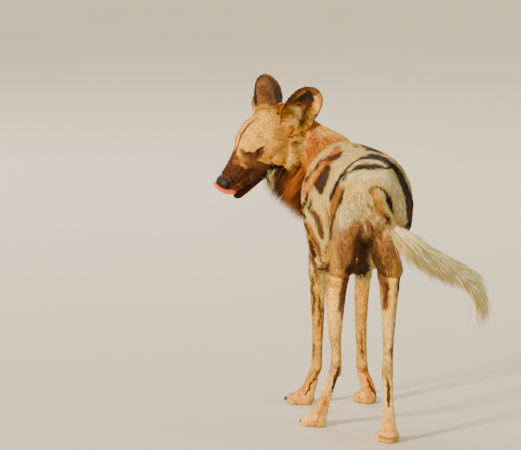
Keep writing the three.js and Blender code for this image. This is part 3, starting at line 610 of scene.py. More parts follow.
SEEN_MARKS = (
    # The neck and the shoulder
    ("white", 1.5, ("neck", "lower_jaw", "head"),
     ((273, 177, 3.0), (277, 183, 4.0), (279, 188, 3.0))),
    ("black", 0.8, ("neck", "lower_jaw"), ((272, 180, 0.9), (275, 190, 0.9))),
    ("brown", 4.0, ("neck",), ((284, 170, 5), (290, 176, 6), (297, 184, 5))),
    ("russet", 4.0, ("neck",), ((290, 186, 5), (296, 192, 6), (302, 200, 4))),
    ("pale", 6.0, ("neck",), ((316, 131, 3), (330, 132, 4), (342, 136, 4))),
    ("rust", 4.0, ("neck",), ((300, 146, 6), (306, 160, 8), (303, 172, 7))),
    ("brown", 2.0, ("neck", "head"),
     ((291, 141, 2.4), (293, 148, 1.4), (294, 157, 1.2), (295, 166, 3.0))),
    ("russet", 3.0, ("neck",), ((297, 160, 3), (301, 170, 4), (303, 180, 5))),
    ("rust", 2.5, TRUNK,
     ((338, 150, 5), (326, 163, 4), (316, 172, 5), (310, 182, 5), (305, 192, 3))),
    ("pale", 2.0, TRUNK, ((322, 165, 1.2), (312, 177, 2), (306, 188, 2))),
    ("brown", 0.8, ("neck", *TRUNK),
     ((331, 156, 1.2), (322, 160, 1.4), (316, 166, 1.1), (310, 173, 1.0), (305, 180, 0.8))),
    ("cream", 2.0, TRUNK, ((348, 142, 7), (350, 158, 7), (340, 175, 7), (334, 180, 4))),
    ("brown", 1.0, TRUNK, ((341, 152, 1.6), (338, 156, 2.8), (333, 158, 2.4), (329, 159, 1.6))),
    ("brown", 0.9, TRUNK, ((328, 167, 3.6), (324, 176, 5.6), (320, 184, 6.0), (321, 190, 3.0))),
    ("cream", 1.5, TRUNK, ((316, 200, 3), (320, 205, 4), (325, 222, 3), (327, 235, 2.2))),
    # Blotches of the shoulder and flank
    ("brown", 0.7, TRUNK, ((308, 193, 1.7), (306, 199, 2.2), (303, 207, 1.8))),
    ("brown", 0.7, TRUNK, ((311, 199, 1.4), (309, 206, 1.8), (308, 209, 1.2))),
    ("brown", 0.7, TRUNK, ((303, 211, 1.4), (303, 217, 1.8))),
    ("cream", 0.8, TRUNK, ((303, 222, 1.6), (304, 230, 1.2))),
    ("umber", 1.0, TRUNK, ((312, 210, 2.6), (317, 217, 3.6), (320, 226, 3.3), (321, 237, 2.2))),
    ("tan", 1.2, TRUNK, ((308, 224, 2.6), (311, 233, 3.4), (315, 243, 4.2), (318, 252, 3.6))),
    ("brown", 0.9, TRUNK, ((305, 222, 1.2), (308, 232, 1.0), (310, 243, 1.4), (313, 256, 3.0))),
    ("umber", 0.8, TRUNK, ((312, 236, 1.0), (317, 246, 1.4), (320, 254, 1.0))),
    ("cream", 0.7, TRUNK, ((314, 224, 0.7), (319, 238, 0.8), (322, 252, 0.8))),
    ("tan", 1.2, TRUNK, ((325, 206, 1.4), (328, 216, 2.0), (328, 226, 1.4))),
    ("sand", 1.5, TRUNK, ((326, 246, 3), (326, 256, 3.2))),
    ("brown", 0.7, TRUNK, ((327, 240, 0.8), (325, 247, 0.8), (324, 252, 0.6))),
    ("umber", 1.2, (*LEFT_FORE, *TRUNK), ((311, 256, 1.6), (315, 266, 2.2), (316, 276, 1.6))),
    ("umber", 1.0, (*LEFT_FORE, *TRUNK), ((320, 255, 0.9), (322, 264, 1.3), (320, 276, 1.0))),
    ("brown", 0.8, (*LEFT_FORE, *TRUNK), ((327, 262, 2.3), (328, 267, 2.4), (325, 270, 1.3))),
    # The loins: black bands over tan and white
    ("tan", 1.0, TRUNK, ((339, 186, 4.2), (337, 197, 4.7), (334, 207, 3.6), (331, 217, 2.1))),
    ("tan", 0.9, TRUNK, ((345, 175, 2.1), (352, 168, 1.8), (360, 163, 1.8), (368, 162, 1.6))),
    ("black", 0.6, TRUNK, (
        (337, 184, 2.1), (343, 175, 2.0), (349, 168, 1.8), (355, 162, 1.6), (362, 158, 1.8),
        (370, 156.4, 2.5), (378, 157, 2.9), (386, 160.5, 2.9), (392, 165, 2.9), (398, 172, 2.9),
        (403, 181, 3.0), (407, 190, 3.6), (409.5, 200, 4.2), (411, 212, 3.9), (412, 226, 3.4),
        (412, 236, 2.9))),
    ("black", 0.6, TRUNK, (
        (346, 178, 1.3), (350, 173, 2.1), (356, 168, 2.0), (362, 166, 2.2), (369, 166.8, 2.7),
        (377, 166, 2.5), (384, 167, 2.1), (389, 166, 1.3))),
    ("white", 0.5, TRUNK, (
        (351, 169, 0.7), (358, 163, 1.2), (366, 160.6, 1.2), (374, 161.2, 1.4), (382, 164, 1.4))),
    ("black", 0.5, TRUNK, (
        (392, 168, 1.4), (397, 176, 1.8), (401, 184, 1.7), (404.5, 192, 1.6), (406.5, 202, 1.4),
        (407.8, 212, 1.4), (408, 224, 1.8))),
    # Painted sheen: a grey streak of light along the black band
    ("steel", 0.5, TRUNK, ((399, 173.5, 0.8), (403, 184, 1.0), (405.6, 192, 0.9))),
    ("white", 0.5, TRUNK, ((404, 200, 1.3), (405.5, 210, 1.3), (405.5, 220, 1.2))),
    ("umber", 0.6, TRUNK, ((408.6, 196, 0.9), (410, 206, 1.0), (410.5, 218, 0.9))),
    ("black", 0.6, TRUNK, ((335, 187, 2.1), (332, 192, 2.2), (330, 198, 1.3))),
    ("black", 0.5, TRUNK, (
        (344, 187, 1.7), (342, 194, 1.4), (339, 202, 1.3), (335.5, 210, 1.3), (333, 217, 1.2),
        (331.3, 226, 1.0), (330.3, 238, 0.9))),
    # The back
    ("black", 0.6, TRUNK, ((350, 136.5, 0.8), (355, 139, 1.0), (359, 141, 1.8), (363, 145, 1.9),
                           (367, 149, 1.6), (373, 149.6, 1.6), (379, 151.5, 1.5), (385, 153, 1.0))),
    ("black", 0.5, TRUNK, ((353, 145, 0.9), (357, 146.4, 0.9))),
    ("rust", 0.8, TRUNK, ((366, 146, 1.1), (371, 145, 1.4), (376, 147, 1.1))),
    # The rump and the haunches
    ("white", 3.0, ("rump", "torso"), ((352, 176, 4), (368, 174, 3), (386, 174, 4), (396, 186, 4))),
    ("white", 3.0, ("rump",), ((348, 210, 7), (345, 222, 6), (356, 206, 6))),
    ("white", 2.5, ("rump",), ((394, 192, 3), (399, 205, 3), (400, 214, 2))),
    ("dun", 7.0, ("rump", "hindleg_left"),
     ((356, 222, 5), (347, 238, 8), (346, 252, 9), (347, 266, 9), (348, 280, 7), (345, 298, 4))),
    ("dun", 6.0, ("rump", "hindleg_right"),
     ((381, 234, 6), (385, 252, 11), (386, 266, 11), (385, 280, 9), (386, 298, 5))),
    ("umber", 5.0, ("rump", "hindleg_left"),
     ((361, 226, 2), (358, 240, 4), (357, 256, 5), (355, 270, 5), (352, 284, 3))),
    ("umber", 5.0, ("rump", "hindleg_right"),
     ((374, 238, 3), (376, 256, 4), (380, 268, 5), (384, 280, 4))),
    ("sand", 5.0, ("rump", "hindleg_left"),
     ((333, 240, 2), (334, 262, 4), (336, 278, 6), (336, 290, 6))),
    ("sand", 5.0, ("rump", "hindleg_right"), ((397, 258, 2), (394, 276, 4), (391, 290, 5))),
    ("umber", 3.0, ("rump",), ((368, 222, 4), (371, 230, 4))),
    ("dun", 2.0, ("rump",), ((366, 201, 1.4), (370, 206, 1.6), (373, 212, 1.2))),
    ("brown", 0.8, ("rump",), ((369, 203, 0.9), (370.5, 205, 0.9))),
    # Painted shade: the belly and groin seen between the thighs, dark brown for the shadow there
    ("brown", 3.0, ("torso", "rump"), ((362, 246, 4), (362, 256, 7), (362, 268, 8), (350, 268, 5))),
    ("dun", 1.2, ("rump",), ((369, 230, 2.6), (368.5, 235, 2.2))),
    # Painted shade: dark brown down the gap between the thighs
    ("brown", 1.0, ("rump",), ((369, 238, 2.2), (366, 246, 2.0), (365, 256, 2.4))),
    ("sand", 1.5, ("rump", "hindleg_right"), ((371, 262, 1.4), (373, 275, 2), (376, 284, 2))),
    # The root of the tail
    ("sand", 2.0, TAIL_TOP, ((371, 188, 2.2), (375, 196, 4.0), (379, 205, 4.6), (383, 213, 3.4))),
    ("dun", 1.2, TAIL_TOP, ((370, 189, 1.2), (373, 198, 1.4), (378, 208, 1.4), (382, 215, 1.6))),
    ("brown", 0.7, TAIL_TOP, ((369, 188, 0.8), (375, 185.2, 1.3), (380, 187, 1.2))),
    ("black", 0.8, TAIL_TOP,
     ((379, 185, 1.0), (384, 189, 1.6), (388, 197, 2.2), (391, 205, 2.2), (394, 212, 1.4))),
    ("white", 0.8, TAIL_TOP, ((381, 193, 0.5), (385, 200, 0.7), (388, 207, 0.6))),
    ("brown", 1.5, TAIL_TOP, ((384, 213, 2.2), (388, 216, 3.0), (385, 221, 1.8))),
    # The left foreleg
    ("sand", 2.5, LEFT_FORE,
     ((315, 275, 5), (316, 310, 5), (316, 345, 5), (314, 370, 5), (303, 395, 7))),
    ("cream", 1.0, LEFT_FORE, ((324, 272, 2.4), (324, 285, 2.6), (323, 300, 1.8))),
    ("umber", 1.0, LEFT_FORE, ((313, 274, 1.2), (312, 288, 1.6), (314, 300, 2.0), (313, 312, 1.2))),
    ("umber", 1.0, LEFT_FORE, ((319, 296, 1.2), (320, 310, 1.2), (319, 325, 1.0))),
    # Painted shade: a brown line in the groove down the left foreleg
    ("brown", 0.7, LEFT_FORE, ((314, 342, 0.6), (313, 350, 0.9), (313.5, 357, 0.7))),
    ("brown", 0.8, LEFT_FORE, ((317, 371, 1.0), (314, 378, 1.3), (310, 386, 1.3), (306, 394, 1.2))),
    ("rust", 2.0, LEFT_FORE, ((309, 378, 2), (303, 388, 3), (300, 396, 3))),
    # The right foreleg
    ("sand", 2.5, RIGHT_FORE, ((361, 285, 6), (361, 320, 6), (361, 355, 6), (366, 385, 8))),
    # Painted shade: a brown line in the groove down the right foreleg
    ("brown", 0.8, RIGHT_FORE, ((362, 332, 0.9), (361.5, 345, 0.8), (362.5, 357, 0.8))),
    ("rust", 1.5, RIGHT_FORE, ((364, 366, 2.4), (368, 376, 3), (371, 387, 3.4), (368, 397, 3))),
    ("brown", 0.8, RIGHT_FORE, ((367, 378, 0.9), (372, 388, 1.1), (377, 397, 1.4))),
    ("brown", 0.8, RIGHT_FORE, ((374, 280, 0.9), (369, 290, 0.9))),
    # The left hind leg
    ("pale", 2.0, LEFT_HIND, ((331, 288, 2.4), (331, 320, 2.6), (332, 350, 2.6), (330, 365, 2.2))),
    # Painted shade: umber and brown down the inner edge of the left hind leg, on the side turned
    # from the light
    ("umber", 2.0, LEFT_HIND, ((346, 280, 3), (342, 296, 3), (340, 312, 2))),
    ("brown", 0.8, LEFT_HIND, ((351, 281, 1.6), (347, 290, 1.6), (345, 304, 1.2), (342, 318, 1.0))),
    ("brown", 0.9, LEFT_HIND,
     ((339, 366, 1.6), (336.5, 374, 2.4), (335, 382, 2.4), (333, 391, 1.4))),
    ("sand", 2.0, LEFT_HIND, ((327, 392, 3), (322, 405, 5), (314, 424, 7))),
    ("tan", 1.2, LEFT_HIND, ((326, 398, 1.6), (322, 408, 1.4), (318, 418, 1.4), (314, 427, 1.2))),
    # The right hind leg
    ("umber", 2.0, RIGHT_HIND, ((385, 284, 4.0), (386, 296, 3.6), (385, 308, 2.2))),
    ("brown", 2.0, RIGHT_HIND, ((386, 284, 2.2), (387, 294, 2.0), (386, 302, 1.2))),
    ("pale", 1.0, RIGHT_HIND, ((395, 268, 1.4), (394, 284, 1.6), (393, 300, 1.4), (391, 316, 1.2))),
    # Painted shade: black and umber down the right side of the right hind leg, turned from the
    # light
    ("black", 0.8, RIGHT_HIND,
     ((402, 264, 1.6), (400, 272, 1.4), (399, 284, 1.1), (399, 296, 0.9))),
    ("umber", 1.0, RIGHT_HIND,
     ((398, 306, 1.4), (396, 324, 1.4), (394, 340, 1.2), (391, 356, 1.2))),
    ("brown", 0.8, RIGHT_HIND,
     ((386, 376, 1.0), (388, 386, 1.5), (389, 396, 1.6), (389, 406, 1.4))),
    ("sand", 2.0, RIGHT_HIND, ((385, 412, 4), (386, 428, 8))),
    ("tan", 1.2, RIGHT_HIND, ((380, 436, 1.4), (388, 440, 1.6), (396, 438, 1.2))),
)

MIDDLE = ("head",)
FACE_MARKS = (
    ("pale", 4.0, HEAD_SKIN, ((252, 112, 6), (243, 128, 6), (237, 140, 4), (234, 148, 2.6))),
    ("pale", 4.0, HEAD_SKIN, ((262, 118, 6), (254, 130, 5), (248, 140, 4))),
    ("sand", 4.0, HEAD_SKIN, ((268, 140, 8), (276, 150, 8), (280, 162, 6))),
    ("umber", 4.0, HEAD_SKIN, ((236, 160, 4), (250, 166, 5), (262, 168, 4), (272, 165, 3))),
    ("brown", 2.5, HEAD_SKIN, (
        (226, 171, 6), (234, 173, 9), (244, 176, 10), (256, 176, 8), (266, 172, 4.6),
        (273, 168, 3))),
    ("tan", 1.2, HEAD_SKIN, ((240, 158, 1.6), (242, 164, 2.0), (246, 168, 1.2))),
    ("umber", 4.5, HEAD_SKIN,
     ((241, 151, 3), (246, 155, 4.5), (250, 158, 5), (257, 157, 4.5), (262, 152, 3))),
    ("brown", 2.5, HEAD_SKIN,
     ((246, 153.5, 1.6), (251, 154, 2.6), (257, 152, 2.4), (262.5, 147.8, 1.4))),
    ("black", 0.5, HEAD_SKIN,
     ((246, 154, 0.7), (251, 152.8, 1.5), (257, 150.8, 1.5), (263, 147, 0.9))),
    # Painted shade: the black comma of the nostril's opening, behind the nose
    ("black", 0.8, HEAD_SKIN,
     ((230.5, 176.5, 0.7), (232.3, 179.5, 1.1), (231, 183.5, 1.2), (226, 186, 0.8))),
    ("umber", 1.5, HEAD_SKIN, ((252, 161, 2.6), (260, 163, 2.2), (268, 165, 1.6))),
    ("black", 0.6, HEAD_SKIN,
     ((236, 192, 1.1), (244, 187.6, 1.3), (251, 184, 1.3), (259, 179, 1.2), (267, 173, 1.2),
      (272, 168, 1.0))),
    ("brown", 0.6, MIDDLE, (
        (259, 119.5, 0.8), (254, 122, 1.4), (250, 126, 1.5), (246.4, 131.5, 1.7), (243.6, 136, 1.7),
        (241, 141.5, 1.4), (238.6, 148, 1.4), (236, 153, 1.5), (232, 158.5, 1.8))),
    ("pale", 1.2, HEAD_SKIN, ((288, 150, 1.4), (289, 160, 1.8), (288, 167, 1.8))),
)

EAR_MARKS = {
    "ear_left": (
        ("tan", 2.0, ((282, 110, 6), (284, 120, 6), (288, 126, 5))),
        ("sand", 2.0, ((315, 100, 4), (316, 108, 4), (312, 118, 4))),
        ("tan", 1.5, ((312, 98, 2), (312, 110, 2))),
        ("umber", 2.0, ((283, 108, 3), (287, 102, 5), (296, 96, 6), (306, 91, 6), (314, 93, 4))),
        # Painted shade: black deep in the near ear's cup
        ("black", 1.6, ((297, 103, 3.6), (302, 99, 5.4), (308, 94, 4.4), (311, 100, 3.4))),
        ("brown", 1.4, ((309, 103, 3.4), (307, 114, 3.2), (303, 124, 2.8), (299, 130, 2.0))),
        ("sand", 1.2, ((284, 116, 3), (288, 124, 3))),
        ("cream", 1.6, ((291, 108, 3.2), (296, 112, 5.4), (298, 118, 5.6), (295, 125, 4.4))),
        ("sand", 1.2, ((300, 133, 2.2), (308, 127, 2.2), (315, 120, 2.0))),
        ("tan", 0.8, ((290, 103, 0.8), (297, 97, 0.8), (305, 92, 0.8))),
        ("black", 1.0, ((279, 108, 1.2), (284, 102, 1.8), (290, 96, 2.0), (297, 90, 2.2),
                        (304, 86, 2.2), (311, 84.5, 2.2), (317, 87.5, 2.0), (320.5, 94, 1.6))),
    ),
    "ear_right": (
        ("sand", 4.0, ((256, 114, 4), (264, 112, 4), (273, 111, 4))),
        ("umber", 2.0, ((262, 90, 5), (268, 96, 6))),
        # Painted sheen: grey light on the black back of the far ear
        ("steel", 6.0, ((273, 84, 2), (277, 95, 4), (279, 103, 4))),
        ("black", 1.2, ((280, 92, 1.6), (282, 101, 2.4), (281, 106, 1.8))),
        ("brown", 1.0, ((252, 94, 1.0), (254, 84, 1.2), (260, 77.5, 1.3), (267, 76.5, 1.4),
                        (274, 82, 1.3), (280, 92, 1.3), (282.5, 101, 1.2))),
        # Painted light and shade: a lighter tan strip of sunlit hair along the far ear's front rim,
        # and a black line of shade in the hollow just past it
        ("tan", 0.8, ((250.5, 90, 0.8), (250.5, 100, 1.2), (252, 108, 1.5))),
        ("black", 0.8, ((254.5, 84, 1.4), (254.5, 95, 1.8), (256, 104, 1.8), (258, 110, 1.2))),
    ),
}

# The place, the way along and the way it faces of each ear in the head's frame, and its side
EAR_FRAMES = {
    "ear_left": ((21, 52, 18), (-0.89, 0.24, 0.39), (0.18, 0.93, 0.32), 1),
    "ear_right": ((42, -36.5, 17.3), (-0.611, -0.751, 0.256), (0.32, -0.92, -0.25), -1),
}


class Mottle:
    """Smooth seeded noise in space, between 0 and 1, with blots of a given size in metres."""

    def __init__(self, seed, size, cells=24):
        self.lattice = np.random.default_rng(seed).random((cells, cells, cells))
        self.cells = cells
        self.size = size

    def octave(self, place):
        """One layer of the noise."""
        low = np.floor(place).astype(int)
        t = place - low
        t = t * t * (3 - 2 * t)
        total = np.zeros(len(place))
        for corner in np.ndindex(2, 2, 2):
            share = np.prod(np.where(corner, t, 1 - t), axis=1)
            at = (low + corner) % self.cells
            total += share * self.lattice[at[:, 0], at[:, 1], at[:, 2]]
        return total

    def at(self, place):
        """The noise at each place, with a finer layer on the first."""
        cell = np.asarray(place) / self.size
        return (2 * self.octave(cell) + self.octave(cell * 2.3 + 7.7)) / 3


BLOTS = Mottle(3, 0.085)
PATCHES = Mottle(4, 0.060)
SPECKLE = Mottle(5, 0.0045)
EDGES = [Mottle(seed, 0.013) for seed in (6, 7, 8)]
FADE = Mottle(9, 0.05)
# How far the edges of the marks wander, in metres
EDGE_WANDER = 0.0075
FACE_WANDER = 0.0022


def path_gap(spots, path):
    """How far each spot lies outside a stroke of circles, below 0 inside it."""
    path = np.array(path, float)
    ends = list(zip(path, path[1:])) or [(path[0], path[0])]
    gap = np.full(len(spots), np.inf)
    for start, end in ends:
        way = end[:-1] - start[:-1]
        t = np.clip((spots - start[:-1]) @ way / max(way @ way, 1e-9), 0, 1)
        off = np.linalg.norm(spots - start[:-1] - t[:, None] * way, axis=1)
        gap = np.minimum(gap, off - start[-1] - t * (end[-1] - start[-1]))
    return gap


def lay(colour, cover, new):
    """Covers the colours with a new one, in place."""
    colour += cover[:, None] * (new - colour)


def tree_of(*names):
    """A tree of the faces of some CAD nodes."""
    return region_tree([(0, merged(name, 0.0)) for name in names])[0]


def landed(tree, across, down):
    """Where a pixel of the photograph falls on a tree's faces, or the nearest place on them."""
    ray = (VIEW_FORWARD * VIEW_SCALE + VIEW_RIGHT * (across - PHOTO_SIZE[0] / 2)
           - VIEW_UP * (down - PHOTO_SIZE[1] / 2))
    ray = Vector(ray).normalized()
    eye = Vector(VIEW_PLACE)
    hit = tree.ray_cast(eye, ray)[0]
    if hit is None:
        near = tree.find_nearest(eye + ray * VIEW_DISTANCE)[0]
        hit = tree.find_nearest(eye + ray * (near - eye).dot(ray))[0]
    return hit


def ear_frame(name):
    """The ear's own frame: x the way it faces, z along it."""
    place, along, facing, _ = EAR_FRAMES[name]
    z = head_way(along)
    x = head_way(facing)
    x = (x - z * x.dot(z)).normalized()
    made = Matrix((x, z.cross(x), z)).transposed().to_4x4()
    made.translation = on_head(place)
    return made


def in_frame(matrix, place, side=1):
    """Places in the millimetres of another frame, with its left or right side taken as the same."""
    turned = np.array(matrix.inverted())
    local = (np.asarray(place) @ turned[:3, :3].T + turned[:3, 3]) / MM
    local[:, 1] *= side
    return local


def landed_marks(tree, marks, matrix, side=1, both=False):
    """Each mark's path on the faces of a tree, in the millimetres of its own frame."""
    out = []
    for colour, soft, *names, path in marks:
        spots = np.array([landed(tree, p[0], p[1]) for p in path])
        local = in_frame(matrix, spots, side)
        if both:
            local[:, 1] = np.abs(local[:, 1]) if names[0] != MIDDLE else 0
        reach = np.array([p[2] for p in path]) * PIXEL_MM
        out.append((colour, soft * PIXEL_MM, np.column_stack([local, reach])))
    return out


# The marks of the face and of each ear in the millimetres of their frames, once they are laid
LANDED = {}


def land_marks():
    """Lays the marks of the face and of the ears on them, once."""
    if LANDED:
        return
    face = tree_of("head", "lower_jaw", "eye_left")
    LANDED["face"] = landed_marks(face, FACE_MARKS, HEAD, both=True)
    for name, marks in EAR_MARKS.items():
        LANDED[name] = landed_marks(tree_of(name), marks, ear_frame(name), EAR_FRAMES[name][3])


def ground(place, normal, region, palette):
    """The coat before its marks: each region's colour, and blots on the sides that aren't seen."""
    colour = np.tile(palette["cream"], (len(place), 1))
    blots = BLOTS.at(place)
    patches = PATCHES.at(place)
    speckle = SPECKLE.at(place)
    unseen = 1 - smoothstep(-0.12, 0.10, -(normal @ VIEW_FORWARD) + 0.3 * (FADE.at(place) - 0.5))
    height = place[:, 2] + 0.03 * (patches - 0.5)

    def of(*names):
        return of_regions(region, names).astype(float)

    def cover(tone, share):
        lay(colour, share, palette[tone])

    fore = of("foreleg_left", "foreleg_right")
    body = of("torso") + fore * smoothstep(0.25, 0.315, height)
    legs = of(*LEGS, *FEET)
    cover("sand", legs)
    cover("tan", legs * 0.6 * smoothstep(0.50, 0.70, speckle))
    cover("tan", fore * smoothstep(0.54, 0.60, PATCHES.at(place * 1.8)))
    cover("umber", of(*LEFT_FORE) * smoothstep(0.58, 0.62, EDGES[0].at(place)))
    cover("cream", fore * smoothstep(0.27, 0.315, height))
    cover("black", body * unseen * smoothstep(0.42, 0.46, blots))
    cover("tan", body * unseen * smoothstep(0.53, 0.57, patches))
    cover("white",
          body * unseen * smoothstep(0.55, 0.58, 1 - blots) * smoothstep(0.42, 0.46, patches))
    haunch = of("rump", "hindleg_left", "hindleg_right")
    cover("umber", of("rump") * unseen * smoothstep(0.52, 0.56, blots))
    cover("tan", of("rump") * unseen * smoothstep(0.56, 0.60, patches))
    cover("cream", of(*LEFT_HIND, *RIGHT_HIND) * 0.5)
    grizzled = haunch * smoothstep(0.56, 0.44, height) * smoothstep(0.26, 0.36, height)
    cover("dun", grizzled * 0.85)
    cover("umber", grizzled * 0.45 * smoothstep(0.50, 0.62, speckle))
    neck = of("neck")
    cover("rust", neck)
    waves = EDGES[2].at(place * np.array([1.0, 1.6, 1.0]))
    cover("pale", neck * 0.3 * smoothstep(0.50, 0.60, waves))
    cover("russet", neck * 0.75 * smoothstep(0.47, 0.38, waves))
    low = smoothstep(0.1, -0.5, normal[:, 2])
    cover("russet", neck * low)
    cover("brown", neck * low * smoothstep(0.5, 0.62, EDGES[1].at(place)))
    cover("sand", of("head"))
    ahead = in_frame(HEAD, place)[:, 0] + 20 * (patches - 0.5)
    muzzle = of("head") * smoothstep(138, 165, ahead)
    cover("brown", muzzle)
    cover("tan", muzzle * 0.35 * smoothstep(0.52, 0.66, speckle))
    cover("brown", of("lower_jaw"))
    cover("cream", of("tail_root"))
    under = smoothstep(0.2, -0.5, normal[:, 2])
    cover("white", of("tail_brush"))
    cover("pale", of("tail_brush") * (0.08 + 0.3 * under))
    return colour


def painted(place, normal, region, colours):
    """The colour of the coat at each place."""
    land_marks()
    palette = {name: np.array(getattr(colours, name)) for name in colours.__annotations__}
    wander = np.column_stack([noise.at(place) for noise in EDGES]) - 0.5
    spots = place + wander * EDGE_WANDER
    colour = ground(place, normal, region, palette)
    across, down, _ = photo_place(spots)
    pixels = np.column_stack([across, down])
    facing = -(normal @ VIEW_FORWARD) + 0.3 * (FADE.at(place) - 0.5)
    seen = smoothstep(-0.22, -0.02, facing)
    chosen = {name: region == number for name, number in REGION.items()}
    for tone, soft, names, path in SEEN_MARKS:
        inside = np.logical_or.reduce([chosen[n] for n in names])
        corner = np.array([p[:2] for p in path])
        reach = max(p[2] for p in path) + soft
        near = (pixels > corner.min(0) - reach) & (pixels < corner.max(0) + reach)
        inside &= np.all(near, axis=1)
        if not inside.any():
            continue
        cover = smoothstep(soft / 2, -soft / 2, path_gap(pixels[inside], path)) * seen[inside]
        part = colour[inside]
        lay(part, cover, palette[tone])
        colour[inside] = part
    spots = place + wander * FACE_WANDER
    face = chosen["head"] | chosen["lower_jaw"]
    lay_local(colour, face, in_frame(HEAD, spots), LANDED["face"], palette, mirrored=True)
    for name in EARS:
        paint_ear(colour, chosen[name], name, spots, normal, palette)
    grain = 0.5 * (SPECKLE.at(place * (1, 0.6, 0.6)) + SPECKLE.at(place * 0.5)) - 0.5
    return np.clip(colour * (1 + 1.1 * grain[:, None]), 0, 1)


def lay_local(colour, inside, local, marks, palette, mirrored=False):
    """Paints landed marks on the chosen places, in their own frame's millimetres."""
    if not inside.any():
        return
    spots = local[inside]
    if mirrored:
        spots[:, 1] = np.abs(spots[:, 1])
    part = colour[inside]
    for tone, soft, path in marks:
        lay(part, smoothstep(soft / 2, -soft / 2, path_gap(spots, path)), palette[tone])
    colour[inside] = part


def paint_ear(colour, inside, name, spots, normal, palette):
    """Each ear has the marks of the near ear's cup inside and of the far ear's back outside."""
    if not inside.any():
        return
    matrix = ear_frame(name)
    cup = normal @ np.array(matrix.to_3x3().col[0]) > 0
    local = in_frame(matrix, spots, EAR_FRAMES[name][3])
    colour[inside & cup] = palette["tan"]
    colour[inside & ~cup] = 0.65 * palette["umber"] + 0.35 * palette["dun"]
    lay_local(colour, inside & cup, local, LANDED["ear_left"], palette)
    lay_local(colour, inside & ~cup, local, LANDED["ear_right"], palette)


LIT_MIDDLE = Vector((0.0, 0.0, 0.45))
FLOOR_RADIUS = 40.0
FLOOR_COLOUR = (0.80, 0.76, 0.68)
ROOM_COLOUR = (1.0, 0.88, 0.70, 1.0)
ROOM_LIGHT = 0.6
# Each light's name, kind, place, power, colour, and a sun's angle or its square's side in metres
LIGHTS = (
    ("key", "SUN", (-4.6, -4.6, 2.9), 6.0, (1.0, 0.80, 0.47), math.radians(9)),
    ("fill", "AREA", (4.5, -3.5, 2.6), 85.0, (0.90, 0.94, 1.0), 3.5),
    ("rim", "AREA", (-1.0, 5.0, 3.8), 190.0, (1.0, 0.92, 0.80), 3.0),
)


class WILDDOG_OT_stage(bpy.types.Operator):
    """Sets the camera, the pale floor and the soft lights"""

    bl_idname = "wilddog.stage"
    bl_label = "Stage"

    def execute(self, context):
        make_camera()
        bm = bmesh.new()
        bmesh.ops.create_circle(bm, cap_ends=True, segments=96, radius=FLOOR_RADIUS)
        floor = piece_from("floor", bm)
        material, shader = new_material("pale_floor", 0.85)
        noise = noise_node(material, 2.0)
        varied(material, shader, flat_colour(material, FLOOR_COLOUR), noise, 0.98, 1.02)
        floor.data.materials.append(material)
        world = bpy.data.worlds.new("soft_room")
        world.use_nodes = True
        background = world.node_tree.nodes["Background"]
        background.inputs["Color"].default_value = ROOM_COLOUR
        background.inputs["Strength"].default_value = ROOM_LIGHT
        context.scene.world = world
        for light in LIGHTS:
            self.lamp(*light)
        return {"FINISHED"}

    def lamp(self, name, kind, place, power, colour, spread):
        """A soft light turned to the dog's middle."""
        light = bpy.data.lights.new(name, kind)
        light.energy = power
        light.color = colour
        if kind == "SUN":
            light.angle = spread
        else:
            light.size = spread
        lamp = placed(name, light)
        lamp.location = Vector(place)
        lamp.rotation_euler = (LIT_MIDDLE - lamp.location).to_track_quat("-Z", "Y").to_euler()


# The heights at which each thigh is measured, in metres, and how many of them are evened together
THIGH_LEVELS = np.linspace(0.20, 0.42, 45)
THIGH_REACH = 12
THIGH_KERNEL = np.exp(-0.5 * (np.arange(-THIGH_REACH, THIGH_REACH + 1) / 4.5) ** 2)
THIGH_KERNEL /= THIGH_KERNEL.sum()


def taper_thighs(place, region):
    """Evens out each thigh's width and depth, height by height, into the leg below it."""
    legs = [region == REGION[name] for name in ("hindleg_left", "hindleg_right")]
    middle = sum(place[leg, 0].mean() for leg in legs) / 2
    levels = THIGH_LEVELS
    for leg in legs:
        side = np.sign(place[leg, 0].mean() - middle)
        mine = leg | ((region == REGION["rump"]) & ((place[:, 0] - middle) * side > 0))
        mine = np.flatnonzero(mine & (place[:, 2] > levels[0]) & (place[:, 2] < levels[-1]))
        height = place[mine, 2]
        share = smoothstep(0.22, 0.26, height) * smoothstep(0.385, 0.35, height)
        for axis in (0, 1):
            spread = np.transpose([
                np.percentile(place[mine[np.abs(height - level) < 0.004], axis], (2, 98))
                for level in levels])
            even = [np.convolve(np.pad(edge, THIGH_REACH, mode="edge"), THIGH_KERNEL, mode="valid")
                    for edge in spread]
            low, high = (np.interp(height, levels, edge) for edge in spread)
            new_low, new_high = (np.interp(height, levels, edge) for edge in even)
            along = (place[mine, axis] - low) / (high - low)
            moved = new_low + along * (new_high - new_low)
            place[mine, axis] += share * (moved - place[mine, axis])


